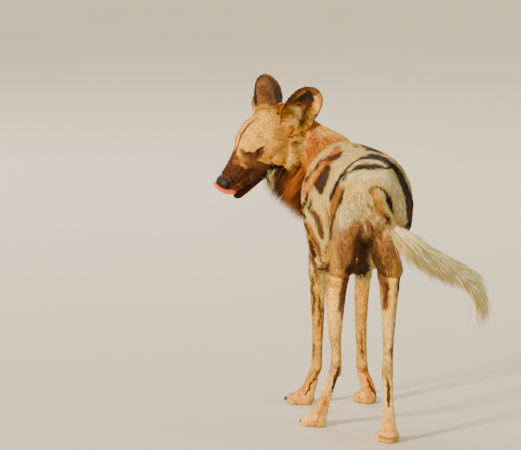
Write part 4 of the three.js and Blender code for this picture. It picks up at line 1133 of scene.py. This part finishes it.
class WILDDOG_OT_skin(bpy.types.Operator):
    """Makes the one skin that stands for every node of flesh"""

    bl_idname = "wilddog.skin"
    bl_label = "Skin"

    def execute(self, context):
        sizes = context.scene.wilddog_sizes
        sources = flesh_sources()
        tree, regions = region_tree(sources)
        whole = bmesh.new()
        for _, bm in sources:
            part = bpy.data.meshes.new("part")
            bm.to_mesh(part)
            bm.free()
            whole.from_mesh(part)
            bpy.data.meshes.remove(part)
        skin = piece_from("skin", whole)
        remeshed(skin, sizes.skin_voxel)
        largest_shell(skin.data)
        self.settle(skin, tree, regions, sizes)
        self.thin_out(skin)
        self.unwrap(skin)
        material, shader, noise = coat_material("short_hair", 0.75, 0.85, 1.12, 180.0)
        bumped(material, shader, noise, 0.0006)
        skin.data.materials.append(material)
        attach(skin, "root")
        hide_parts(*FLESH)
        return {"FINISHED"}

    def settle(self, skin, tree, regions, sizes):
        """Smooths the facets away and lowers the skin by the coat's depth."""
        mesh = skin.data
        count = len(mesh.vertices)
        edges = edge_array(mesh)
        place = vertex_array(mesh)
        region = np.array([regions[tree.find_nearest(Vector(p))[2]] for p in place])
        fine = of_regions(region, FINE_REGIONS)
        behind = in_frame(HEAD, place)[:, 0] < BACK_OF_FACE_MM
        fine &= ~(behind & of_regions(region, HEAD_SKIN))
        soft = blurred(np.where(fine, FINE_SOFTNESS, 1.0), edges, count, EDGE_ROUNDS)[:, None]
        for _ in range(4):
            place = place + soft * (blurred(place, edges, count, FACET_ROUNDS) - place)
        thigh = of_regions(region, ("rump", "hindleg_left", "hindleg_right"))
        thigh = thigh * smoothstep(0.24, 0.28, place[:, 2]) * smoothstep(0.40, 0.34, place[:, 2])
        thigh = blurred(thigh, edges, count, EDGE_ROUNDS)[:, None]
        place = place + thigh * (blurred(place, edges, count, THIGH_ROUNDS) - place)
        taper_thighs(place, region)
        move_vertices(mesh, place)
        normal = vertex_array(mesh, normals=True)
        hair = blurred(coat_depth(region, sizes), edges, count, HAIR_ROUNDS)
        hair = hair * (1 - 0.5 * thigh[:, 0])
        depth = hair * SKIN_DEPTH + of_regions(region, EARS) * EAR_GROWTH
        place = place - normal * depth[:, None]
        move_vertices(mesh, place)
        normal = vertex_array(mesh, normals=True)
        lie = blurred(lie_of_coat(region, place, normal), edges, count, HAIR_ROUNDS)
        set_point_attribute(mesh, "region", "FLOAT", region)
        set_point_attribute(mesh, "hair", "FLOAT", hair)
        set_point_attribute(mesh, "lie", "FLOAT_VECTOR", lie)
        group = skin.vertex_groups.new(name="thin_out")
        group.add(np.flatnonzero(~fine).tolist(), 1.0, "REPLACE")

    def thin_out(self, skin):
        """Makes the body's faces fewer than the face's and the feet's, then paints the skin."""
        mesh = skin.data
        mesh.calc_loop_triangles()
        decimate = skin.modifiers.new("fewer_faces", "DECIMATE")
        decimate.vertex_group = "thin_out"
        decimate.ratio = min(1.0, SKIN_TRIANGLES / len(mesh.loop_triangles))
        decimate.use_collapse_triangulate = True
        bake_modifiers(skin)
        skin.vertex_groups.clear()
        mesh = skin.data
        place = vertex_array(mesh)
        normal = vertex_array(mesh, normals=True)
        colours = bpy.context.scene.wilddog_colours
        set_coat_colour(mesh, painted(place, normal, region_array(mesh), colours))

    def unwrap(self, skin):
        """Lays the skin out flat, by its own shape, for the coat's patches."""
        skin.data.uv_layers.new(name="OFBake")
        bpy.context.view_layer.objects.active = skin
        skin.select_set(True)
        bpy.ops.object.mode_set(mode="EDIT")
        bpy.ops.mesh.select_all(action="SELECT")
        bpy.ops.uv.smart_project(angle_limit=math.radians(66), island_margin=0.002)
        bpy.ops.object.mode_set(mode="OBJECT")
        skin.select_set(False)


# The coat

# Hair stays this far over the ground, and a tuft's colours lie on this much of the patch map
LOWEST_HAIR = 0.0002
PATCH_REACH = 0.0015


class SkinPoints:
    """Random places on the skin, with all that a tuft needs to know there."""

    def __init__(self, skin):
        mesh = skin.data
        mesh.calc_loop_triangles()
        count = len(mesh.loop_triangles)
        corners = np.zeros(count * 3, np.int32)
        loops = np.zeros(count * 3, np.int32)
        mesh.loop_triangles.foreach_get("vertices", corners)
        mesh.loop_triangles.foreach_get("loops", loops)
        self.corners = corners.reshape(-1, 3)
        self.loops = loops.reshape(-1, 3)
        self.place = vertex_array(mesh)
        self.normal = vertex_array(mesh, normals=True)
        self.region = region_array(mesh)
        self.hair = get_point_attribute(mesh, "hair")
        self.lie = flat_on(self.normal, get_point_attribute(mesh, "lie", 3))
        uv = np.zeros(len(mesh.loops) * 2, np.float32)
        mesh.uv_layers["OFBake"].data.foreach_get("uv", uv)
        self.uv = uv.reshape(-1, 2)
        a, b, c = (self.place[self.corners[:, k]] for k in range(3))
        self.area = np.linalg.norm(np.cross(b - a, c - a), axis=1) / 2

    def draw(self, regions, count, seed, weight=None, lie=None):
        """Picks count places in the named regions, evenly by area or by a weight of the vertices.

        The hair there lies as on the skin, or else as each vertex's lie says.
        """
        random = np.random.default_rng(seed)
        share = self.area * of_regions(self.region[self.corners[:, 0]], regions)
        if weight is not None:
            share = share * weight[self.corners].mean(axis=1)
        chosen = random.choice(len(share), count, p=share / share.sum())
        first = np.sqrt(random.random(count))
        second = random.random(count)
        bary = np.stack([1 - first, first * (1 - second), first * second], axis=1)
        verts = self.corners[chosen]

        def mixed(values):
            return np.einsum("nk,nkd->nd", bary, values[verts])

        return {
            "place": mixed(self.place),
            "normal": unit(mixed(self.normal)),
            "lie": unit(mixed(self.lie if lie is None else lie)),
            "hair": mixed(self.hair[:, None])[:, 0],
            "region": self.region[verts[:, 0]],
            "uv": np.einsum("nk,nkd->nd", bary, self.uv[self.loops[chosen]]),
            "random": random,
        }

    def uv_at(self, places):
        """The patch map's place of the skin nearest to each of the places."""
        tree = KDTree(len(self.place))
        for number, place in enumerate(self.place):
            tree.insert(place, number)
        tree.balance()
        loop = np.zeros(len(self.place), int)
        loop[self.corners.ravel()] = self.loops.ravel()
        return self.uv[loop[[tree.find(place)[1] for place in places]]]


def grow_tufts(name, points, look, colours, own=None):
    """One coat piece of closed, tapered, bent tufts that lie along the skin.

    They take the painted colours of their places, or else their own.
    """
    random = points["random"]
    count = len(points["place"])
    segments = look["segments"]
    normal = points["normal"]
    swing = random.normal(0, look["swing"], count)[:, None]
    across = np.cross(points["lie"], normal)
    lie = unit(points["lie"] + across * swing)
    across = np.cross(lie, normal)
    long = (points["hair"] * look["length"] * random.uniform(0.65, 1.25, count))[:, None]
    wide = (look["width"] * random.uniform(0.7, 1.3, count))[:, None]
    lift = (look["lift"] * random.uniform(0.4, 1.6, count))[:, None]
    rings = []
    down = np.array([0, 0, -1.0]) * np.asarray(points.get("droop", look["droop"]))
    centre = points["place"] - normal * look["sunk"]
    for k in range(segments + 1):
        t = k / segments
        if k:
            angle = lift * (1 - look["settle"] * (k - 0.5) / segments)
            centre = centre + (lie * np.cos(angle) + normal * np.sin(angle)) * long / segments
            centre = centre + down * long * (2 * t - 1 / segments) / segments
        if k < segments:
            half = wide * (1 - t) ** 0.7 / 2
            rings += [centre - across * half, centre + across * half, centre + normal * half * 0.7]
        else:
            rings.append(centre)
    per = 3 * segments + 1
    verts = np.stack(rings, axis=1).reshape(-1, 3)
    verts[:, 2] = np.maximum(verts[:, 2], LOWEST_HAIR)
    faces = [(0, 2, 1)]
    for k in range(segments - 1):
        a, b = 3 * k, 3 * k + 3
        for i, j in ((0, 1), (1, 2), (2, 0)):
            faces += [(a + i, a + j, b + j), (a + i, b + j, b + i)]
    tip = per - 1
    last = 3 * (segments - 1)
    faces += [(last + i, last + j, tip) for i, j in ((0, 1), (1, 2), (2, 0))]
    faces = np.array(faces)
    tris = (faces[None] + per * np.arange(count)[:, None, None]).reshape(-1, 3)
    if own is None:
        colour = painted(points["place"] + random.normal(0, look["mingle"], (count, 3)), normal,
                         points["region"], colours)
    else:
        colour = np.broadcast_to(np.array(own, float), (count, 3))
    tone = np.exp(random.normal(0, look["tone"], count))[:, None]
    along = np.repeat(np.linspace(0, 1, segments + 1), 3)[:per]
    shade = look["root"] + (1 - look["root"]) * along
    tint = np.clip(colour * tone, 0, 1)[:, None, :] * shade[None, :, None]
    spread = np.stack([np.tile((-1.0, 1.0, 0.0), segments + 1)[:per] * PATCH_REACH * (1 - along),
                       (2 * along - 1) * PATCH_REACH], axis=1)
    uv = points["uv"][:, None, :] + spread[None]
    return mesh_piece(name, verts, tris, uv.reshape(-1, 2), tint.reshape(-1, 3))


def mesh_piece(name, verts, tris, uv, tint):
    """An object of triangles with its patch map and its colours."""
    mesh = bpy.data.meshes.new(name)
    mesh.vertices.add(len(verts))
    mesh.vertices.foreach_set("co", verts.astype(np.float32).ravel())
    mesh.loops.add(tris.size)
    mesh.loops.foreach_set("vertex_index", tris.astype(np.int32).ravel())
    mesh.polygons.add(len(tris))
    mesh.polygons.foreach_set("loop_start", np.arange(0, tris.size, 3, dtype=np.int32))
    mesh.update(calc_edges=True)
    layer = mesh.uv_layers.new(name="OFBake")
    layer.data.foreach_set("uv", uv[tris.ravel()].astype(np.float32).ravel())
    set_coat_colour(mesh, tint)
    mesh.shade_smooth()
    return placed(name, mesh)


# A tuft's look: its segments, length as a share of the hair's, width, angles over the skin and to
# the side, how deep it starts, and how its colours mingle, vary and darken to the root
SHORT = {"segments": 1, "length": 0.8, "width": 0.0018, "lift": 0.14, "settle": 0.6, "droop": 0.0,
         "sunk": 0.0004, "swing": 0.16, "mingle": 0.0015, "tone": 0.19, "root": 0.62}
LONG = {**SHORT, "segments": 3, "length": 1.0, "width": 0.0028, "lift": 0.30, "sunk": 0.001,
        "droop": 0.1, "mingle": 0.003}

# Each short coat's name, regions, number of tufts, look, slot and seed
COATS = (
    ("coat_torso", ("torso",), 45000, SHORT, "patched_coat", 1),
    ("coat_rump", ("rump",), 38000, dict(SHORT, tone=0.11, swing=0.12), "white_coat", 2),
    ("coat_legs", LEGS, 38000, SHORT, "tan_coat", 3),
    ("coat_feet", FEET, 20000, dict(SHORT, width=0.0013), "tan_coat", 4),
    ("coat_head", HEAD_SKIN, 45000, dict(SHORT, width=0.0012, tone=0.18), "tan_coat", 5),
    ("coat_ears", EARS, 24000, dict(SHORT, width=0.0012), "dark_coat", 6),
    ("coat_neck", ("neck",), 18000,
     dict(LONG, segments=2, width=0.0024, lift=0.2, tone=0.32, root=0.45), "rust_coat", 7),
)


class WILDDOG_OT_coat(bpy.types.Operator):
    """Grows the short coat over the whole skin"""

    bl_idname = "wilddog.coat"
    bl_label = "Short coat"

    def execute(self, context):
        colours = context.scene.wilddog_colours
        points = SkinPoints(bpy.data.objects["skin"])
        material, _, _ = coat_material("hair", 0.62, 0.9, 1.08, 60.0)
        for name, regions, count, look, slot, seed in COATS:
            coat = grow_tufts(name, points.draw(regions, count, seed), look, colours)
            finish_piece(coat, material)
        return {"FINISHED"}


RUFF_TUFTS = 10500
BRUSH_TUFTS = 9000
TAIL_ROOT_TUFTS = 6000
THROAT_TUFTS = 700
# The tuft under the jaw: its middle in the photograph's pixels, its hair's length in metres, and
# how much of it is dark
THROAT_SPOT = (274, 180)
THROAT_HAIR = 0.034
THROAT_DARK = 0.3
# The hair of the tail at its tip, in metres
TAIL_TIP_HAIR = 0.040


class WILDDOG_OT_ruff(bpy.types.Operator):
    """Hangs the long hair of the throat and of the tail"""

    bl_idname = "wilddog.ruff"
    bl_label = "Ruff and tail brush"

    def execute(self, context):
        sizes = context.scene.wilddog_sizes
        colours = context.scene.wilddog_colours
        points = SkinPoints(bpy.data.objects["skin"])
        ruff = self.ruff(points, sizes, colours)
        brush = self.brush(points, sizes, colours)
        root_points = points.draw(("tail_root",), TAIL_ROOT_TUFTS, 23)
        root = grow_tufts("coat_tail_root", root_points, SHORT, colours)
        tuft = self.throat_tuft(points, colours)
        material, _, _ = coat_material("long_hair", 0.55, 0.9, 1.08, 50.0)
        for piece, slot in ((ruff, "dark_coat"), (brush, "white_coat"), (root, "tan_coat"),
                            (tuft, "white_coat")):
            finish_piece(piece, material)
        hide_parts("neck")
        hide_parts("tail_brush")
        return {"FINISHED"}

    def ruff(self, points, sizes, colours):
        """The dark hair that hangs from the throat and the underside of the neck."""
        low = smoothstep(0.1, -0.5, points.normal[:, 2])
        local = in_frame(HEAD, points.place)
        low = low * (1 - smoothstep(-20, 10, local[:, 0]) * smoothstep(-60, -40, local[:, 2]))
        throat = points.draw(("neck",), RUFF_TUFTS, 21, low + 1e-6)
        near = smoothstep(-110, -50, in_frame(HEAD, throat["place"])[:, 0])
        throat["hair"] = sizes.ruff * (1 - 0.1 * near)
        throat["lie"] = unit(np.array([-0.85, 0.0, -1.0]) + 0.35 * throat["lie"])
        look = dict(LONG, lift=0.4, width=0.0026, tone=0.4, root=0.45)
        return grow_tufts("ruff", throat, look, colours)

    def brush(self, points, sizes, colours):
        """The white hair of the tail, which droops and shortens to the tip."""
        tail = points.draw(("tail_brush",), BRUSH_TUFTS, 22)
        left = np.linalg.norm(tail["place"] - np.array(row(TAIL_CORE[-1][0])), axis=1)
        tail["hair"] = np.minimum(sizes.brush, TAIL_TIP_HAIR + 0.45 * left)
        tail["droop"] = (0.18 + 0.8 * smoothstep(0.10, 0.02, left))[:, None]
        look = dict(LONG, lift=0.27, width=0.0030, swing=0.13, root=0.72)
        return grow_tufts("brush", tail, look, colours)

    def throat_tuft(self, points, colours):
        """The tuft of white and black hair under the jaw."""
        across, down, _ = photo_place(points.place)
        weight = np.exp(-((across - THROAT_SPOT[0]) / 4) ** 2 - ((down - THROAT_SPOT[1]) / 5) ** 2)
        under_jaw = points.draw(("neck", *HEAD_SKIN), THROAT_TUFTS, 24, weight + 1e-9)
        under_jaw["hair"] = np.full(THROAT_TUFTS, THROAT_HAIR)
        under_jaw["lie"] = np.tile(unit(np.array([[0.1, 0.0, -1.0]])), (THROAT_TUFTS, 1))
        dark = under_jaw["random"].random(THROAT_TUFTS) < THROAT_DARK
        own = np.where(dark[:, None], np.array(colours.black), np.array(colours.white))
        look = dict(LONG, lift=0.3, width=0.0020, tone=0.2, swing=0.2)
        return grow_tufts("throat_tuft", under_jaw, look, colours, own)


# The face's own pieces, in the head's frame in millimetres

EYE_PLACE = Vector((117, 39.5, 26.5))
EYE_REACH = (14.4, 11.4, 10.9)
EYE_TURN = (math.radians(12), math.radians(-24))
# How high the closed slit runs at the middle of the eye
SLIT_HEIGHT = 2.2
TONGUE_FULLER = 1.5
# How far the tongue's root moves in from the left, where the lips hide it
TONGUE_SHIFT = -13
# Faces of the nose and the tongue, in metres
FINE_VOXEL = 0.0007
CHEEK_TUFTS = 5500
EAR_TUFTS = 2600
LID_TUFTS = 900
# Lengths of hair, in metres
CHEEK_HAIR = 0.020
EAR_HAIR = 0.015
LID_HAIR = 0.0045
LASHES = 26


def eye_matrix(side):
    """Where an eye's own frame stands: x along the slit to the nose, y out of the head."""
    turn = Matrix.Rotation(EYE_TURN[0], 4, "Y") @ Matrix.Rotation(side * EYE_TURN[1], 4, "Z")
    place = Matrix.Translation(Vector((EYE_PLACE.x, side * EYE_PLACE.y, EYE_PLACE.z)))
    return HEAD @ Matrix.Scale(MM, 4) @ place @ turn


def slit_height(along):
    """Height of the closed slit over the middle of the eye."""
    return SLIT_HEIGHT + 0.012 * along * along


def lid_relief(gap, along):
    """How far the lids stand out at a height over the slit: its groove, both rims and the folds."""
    def ridge(height, at, width):
        return height * math.exp(-((gap - at) / width) ** 2)

    ends = math.exp(-(along / 12.5) ** 6)
    slit = ridge(-2.4, 0.0, 0.9) + ridge(0.7, 1.4, 0.8) + ridge(0.6, -1.4, 0.8)
    folds = (ridge(-0.8, 4.2, 0.6) + ridge(0.3, 5.4, 0.7)
             + ridge(-0.6, -4.6, 0.7) + ridge(-0.4, -7.2, 0.8))
    return slit * ends + folds * math.exp(-(along / 16) ** 4)


def closed_eyes(colours):
    """Both closed eyes in one piece, coloured darker towards the slit."""
    bm = bmesh.new()
    dark = []
    for side in (1, -1):
        made = bmesh.ops.create_uvsphere(bm, u_segments=112, v_segments=84, radius=1.0)["verts"]
        for vert in made:
            out = vert.co.copy()
            along = out.x * EYE_REACH[0]
            gap = out.z * EYE_REACH[2] - slit_height(along)
            raised = lid_relief(gap, along) if out.y * side > 0 else 0.0
            vert.co = Vector([u * (r + raised) for u, r in zip(out, EYE_REACH)])
            dark.append(math.exp(-(gap / 1.9) ** 4) * math.exp(-(along / 14) ** 8))
        bmesh.ops.transform(bm, matrix=eye_matrix(side), verts=made)
    eyes = piece_from("closed_eyes", bm)
    place = vertex_array(eyes.data)
    normal = vertex_array(eyes.data, normals=True)
    colour = painted(place, normal, np.full(len(place), REGION["head"]), colours)
    lay(colour, np.array(dark), np.array(colours.black))
    set_coat_colour(eyes.data, colour)
    eyes.data.shade_smooth()
    return eyes


def fine_copy(node, name, rounds):
    """A fine smooth copy of a CAD node, with its vertices and normals."""
    piece = piece_from(name, merged(node, 0.0))
    remeshed(piece, FINE_VOXEL)
    place = vertex_array(piece.data)
    move_vertices(piece.data, blurred(place, edge_array(piece.data), len(place), rounds))
    return piece, vertex_array(piece.data), vertex_array(piece.data, normals=True)


def nose_leather():
    """The nose with its nostrils, the groove between them and its pebbled leather."""
    nose, place, normal = fine_copy("nose", "nose_leather", 3)
    local = in_frame(HEAD, place)
    front = smoothstep(0.2, 0.6, normal @ np.array(head_way((1, 0, 0))))
    groove = 1.1 * np.exp(-(local[:, 1] / 0.8) ** 2) * front * smoothstep(4, -4, local[:, 2])
    pebbles = 0.5 * (Mottle(31, 0.0014).at(place) - 0.5)
    curve = local[:, 2] + 14.5 - 0.030 * (local[:, 0] - 218) ** 2
    nostril = np.exp(-((local[:, 0] - 212) / 10) ** 4 - (curve / 2.6) ** 2)
    nostril *= np.abs(local[:, 1]) > 8
    raised = 1.2 + pebbles - groove - 5.5 * nostril
    move_vertices(nose.data, place + normal * (raised * MM)[:, None])
    return nose


def curled_tongue():
    """The tongue, a little fuller than the solid, with a fine rough surface."""
    tongue, place, normal = fine_copy("tongue", "curled_tongue", 8)
    rough = TONGUE_FULLER + 0.2 * (Mottle(32, 0.0010).at(place) - 0.5)
    hidden = smoothstep(218, 200, in_frame(HEAD, place)[:, 0])[:, None]
    inward = np.array(HEAD.to_3x3() @ Vector((0, TONGUE_SHIFT * MM, 0)))
    move_vertices(tongue.data, place + normal * (rough * MM)[:, None] + inward * hidden)
    return tongue


def strands(spots, ways, long, seed):
    """Points for strands that start at places of the head's frame and run each its own way."""
    way = np.array([head_way(w) for w in ways])
    side = unit(np.cross(way, np.array([0.0, 0.0, 1.0])))
    return {"place": np.array([on_head(s) for s in spots]), "normal": np.cross(side, way),
            "lie": way, "hair": np.array(long), "random": np.random.default_rng(seed)}


def lid_hair(points, colours):
    """Very short hair over both lids, left off along the slit."""
    random = np.random.default_rng(43)
    parts = []
    for side in (1, -1):
        out = unit(random.normal(size=(LID_TUFTS * 3, 3)))
        along = out[:, 0] * EYE_REACH[0]
        gap = out[:, 2] * EYE_REACH[2] - slit_height(along)
        out = out[(out[:, 1] > 0.1) & ((np.abs(gap) > 1.9) | (np.abs(along) > 13.2))][:LID_TUFTS]
        turn = np.array(eye_matrix(side))
        flip = np.array([1, side, 1])
        above = np.sign(out[:, 2] * EYE_REACH[2] - SLIT_HEIGHT)
        ways = np.array([head_way((-1.0, 0.0, 0.6 * up)) for up in above])
        normal = unit((out / EYE_REACH * flip) @ turn[:3, :3].T)
        parts.append((out * EYE_REACH * flip @ turn[:3, :3].T + turn[:3, 3], normal,
                      flat_on(normal, ways)))
    place, normal, lie = (np.concatenate(group) for group in zip(*parts))
    drawn = {"place": place, "normal": normal, "lie": lie, "hair": np.full(len(place), LID_HAIR),
             "region": np.full(len(place), REGION["head"]), "uv": points.uv_at(place),
             "random": random}
    return grow_tufts("lid_hair", drawn, dict(SHORT, width=0.0010, lift=0.12), colours)


def whiskers_and_lashes(points, colours):
    """Thin dark strands: rows of whiskers on the lips, and the lashes."""
    random = np.random.default_rng(41)
    spots, ways, long = [], [], []
    for side in (1, -1):
        for line in range(4):
            for step in range(6):
                x = 204 - 8 * step + random.uniform(-2, 2)
                spots.append((x, side * (20.5 + 0.13 * (204 - x)), -24 - 4.5 * line))
                ways.append((random.uniform(-0.5, 0.3), side, random.uniform(-0.5, 0.1)))
                long.append(random.uniform(0.022, 0.042))
        to_head = HEAD.inverted() @ eye_matrix(side)
        for along in np.linspace(-11, 11, LASHES):
            out = EYE_REACH[1] * math.sqrt(1 - (along / EYE_REACH[0]) ** 2)
            edge = Vector((along, side * out, slit_height(along)))
            spots.append(tuple((to_head @ edge) / MM))
            ways.append((along / 40 + 0.15, side * 0.8, -0.75))
            long.append(random.uniform(0.004, 0.008))
    look = dict(LONG, lift=0.04, swing=0.06, width=0.0005, sunk=0.0005, droop=0.06, root=1.0,
                tone=0.05)
    drawn = strands(spots, ways, long, 42)
    drawn["uv"] = points.uv_at(drawn["place"])
    return grow_tufts("whiskers", drawn, look, colours, own=colours.black)


def cheek_hair(points, colours):
    """Longer light hair at the back edge of both cheeks and around the roots of the ears."""
    local = in_frame(HEAD, points.place)
    weight = (smoothstep(0, 16, local[:, 0]) * smoothstep(98, 60, local[:, 0])
              * smoothstep(20, 0, local[:, 2]) * smoothstep(12, 30, np.abs(local[:, 1]))
              * smoothstep(-100, -72, local[:, 2]))
    for name in EARS:
        away = np.linalg.norm(in_frame(ear_frame(name), points.place), axis=1)
        weight += 0.6 * smoothstep(52, 26, away)
    drawn = points.draw(HEAD_SKIN, CHEEK_TUFTS, 51, weight + 1e-9)
    drawn["lie"] = flat_on(drawn["normal"], np.array(head_way((-0.75, 0.0, -0.66))))
    drawn["hair"] = np.full(CHEEK_TUFTS, CHEEK_HAIR)
    look = dict(LONG, lift=0.26, width=0.0014, droop=0.12, root=0.4, tone=0.28, swing=0.2)
    return grow_tufts("cheek_hair", drawn, look, colours)


def ear_hair(points, colours):
    """The light hair that fans across the inside of each ear from its front edge."""
    weight = np.zeros(len(points.place))
    ways = np.zeros_like(points.place)
    for name in EARS:
        matrix = ear_frame(name)
        turn = np.array(matrix.to_3x3())
        mine = points.region == REGION[name]
        local = in_frame(matrix, points.place[mine])
        inner = points.normal[mine] @ turn[:, 0] > 0.1
        weight[mine] = inner * smoothstep(2, 14, local[:, 2]) * smoothstep(78, 50, local[:, 2])
        across = -np.sign(local[:, 1])[:, None] * turn[:, 1]
        ways[mine] = 0.55 * turn[:, 2] + 0.8 * across + 0.25 * turn[:, 0]
    drawn = points.draw(EARS, EAR_TUFTS, 52, weight + 1e-9, unit(ways + 1e-9))
    drawn["hair"] = np.full(EAR_TUFTS, EAR_HAIR)
    look = dict(LONG, lift=0.25, width=0.0012, droop=0.0, root=0.45, tone=0.2)
    return grow_tufts("ear_hair", drawn, look, colours)


class WILDDOG_OT_face(bpy.types.Operator):
    """Makes the closed eyes, the nose, the tongue and the fine hair of the face"""

    bl_idname = "wilddog.face"
    bl_label = "Eyes, nose, tongue and whiskers"

    def execute(self, context):
        colours = context.scene.wilddog_colours
        leather = plain_material("nose_leather", (0.016, 0.012, 0.010), 0.55, 700.0)
        wet = plain_material("tongue_flesh", (0.72, 0.14, 0.09), 0.3, 500.0)
        lids, shader, noise = coat_material("lid_skin", 0.6, 0.8, 1.1, 500.0)
        bumped(lids, shader, noise, BUMP)
        hair, _, _ = coat_material("fine_hair", 0.55, 0.92, 1.06, 80.0)
        points = SkinPoints(bpy.data.objects["skin"])
        eyes = closed_eyes(colours)
        nose = nose_leather()
        tongue = curled_tongue()
        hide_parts("eye_left", "eye_right")
        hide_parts("nose")
        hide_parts("tongue")
        for piece, material, slot in (
                (eyes, lids, "dark_coat"), (nose, leather, "nose"), (tongue, wet, "tongue"),
                (lid_hair(points, colours), hair, "dark_coat"),
                (whiskers_and_lashes(points, colours), hair, "dark_coat"),
                (cheek_hair(points, colours), hair, "tan_coat"),
                (ear_hair(points, colours), hair, "white_coat")):
            finish_piece(piece, material)
        return {"FINISHED"}


class WILDDOG_OT_claws(bpy.types.Operator):
    """Finishes the claws in dark horn"""

    bl_idname = "wilddog.claws"
    bl_label = "Claws"

    def execute(self, context):
        horn = plain_material("claw_horn", (0.05, 0.035, 0.025), 0.4, 200.0)
        for name, node in NODES.items():
            if name.startswith("claw"):
                node.data.materials.clear()
                node.data.materials.append(horn)
        return {"FINISHED"}


class WILDDOG_PT_pieces(bpy.types.Panel):
    """Lists the dog's pieces, sizes and colours"""

    bl_label = "Wild Dog"
    bl_idname = "WILDDOG_PT_pieces"
    bl_space_type = "VIEW_3D"
    bl_region_type = "UI"
    bl_category = "Wild Dog"

    def draw(self, context):
        for step in STEPS:
            self.layout.operator(step.bl_idname)
        for group in (context.scene.wilddog_sizes, context.scene.wilddog_colours):
            box = self.layout.box()
            for name in group.__annotations__:
                box.prop(group, name)


STEPS = (WILDDOG_OT_stage, WILDDOG_OT_skin, WILDDOG_OT_coat, WILDDOG_OT_ruff, WILDDOG_OT_face,
         WILDDOG_OT_claws)
CLASSES = (WildDogSizes, WildDogColours, *STEPS, WILDDOG_PT_pieces)


def register():
    """Adds the classes and the properties they read."""
    for made in CLASSES:
        bpy.utils.register_class(made)
    bpy.types.Scene.wilddog_sizes = PointerProperty(type=WildDogSizes)
    bpy.types.Scene.wilddog_colours = PointerProperty(type=WildDogColours)


def unregister():
    """Takes the classes and the properties out again."""
    del bpy.types.Scene.wilddog_colours
    del bpy.types.Scene.wilddog_sizes
    for made in reversed(CLASSES):
        bpy.utils.unregister_class(made)


def main():
    """Makes every piece in order."""
    register()
    bpy.ops.wilddog.stage()
    bpy.ops.wilddog.skin()
    bpy.ops.wilddog.coat()
    bpy.ops.wilddog.ruff()
    bpy.ops.wilddog.face()
    bpy.ops.wilddog.claws()


if __name__ == "__main__":
    main()
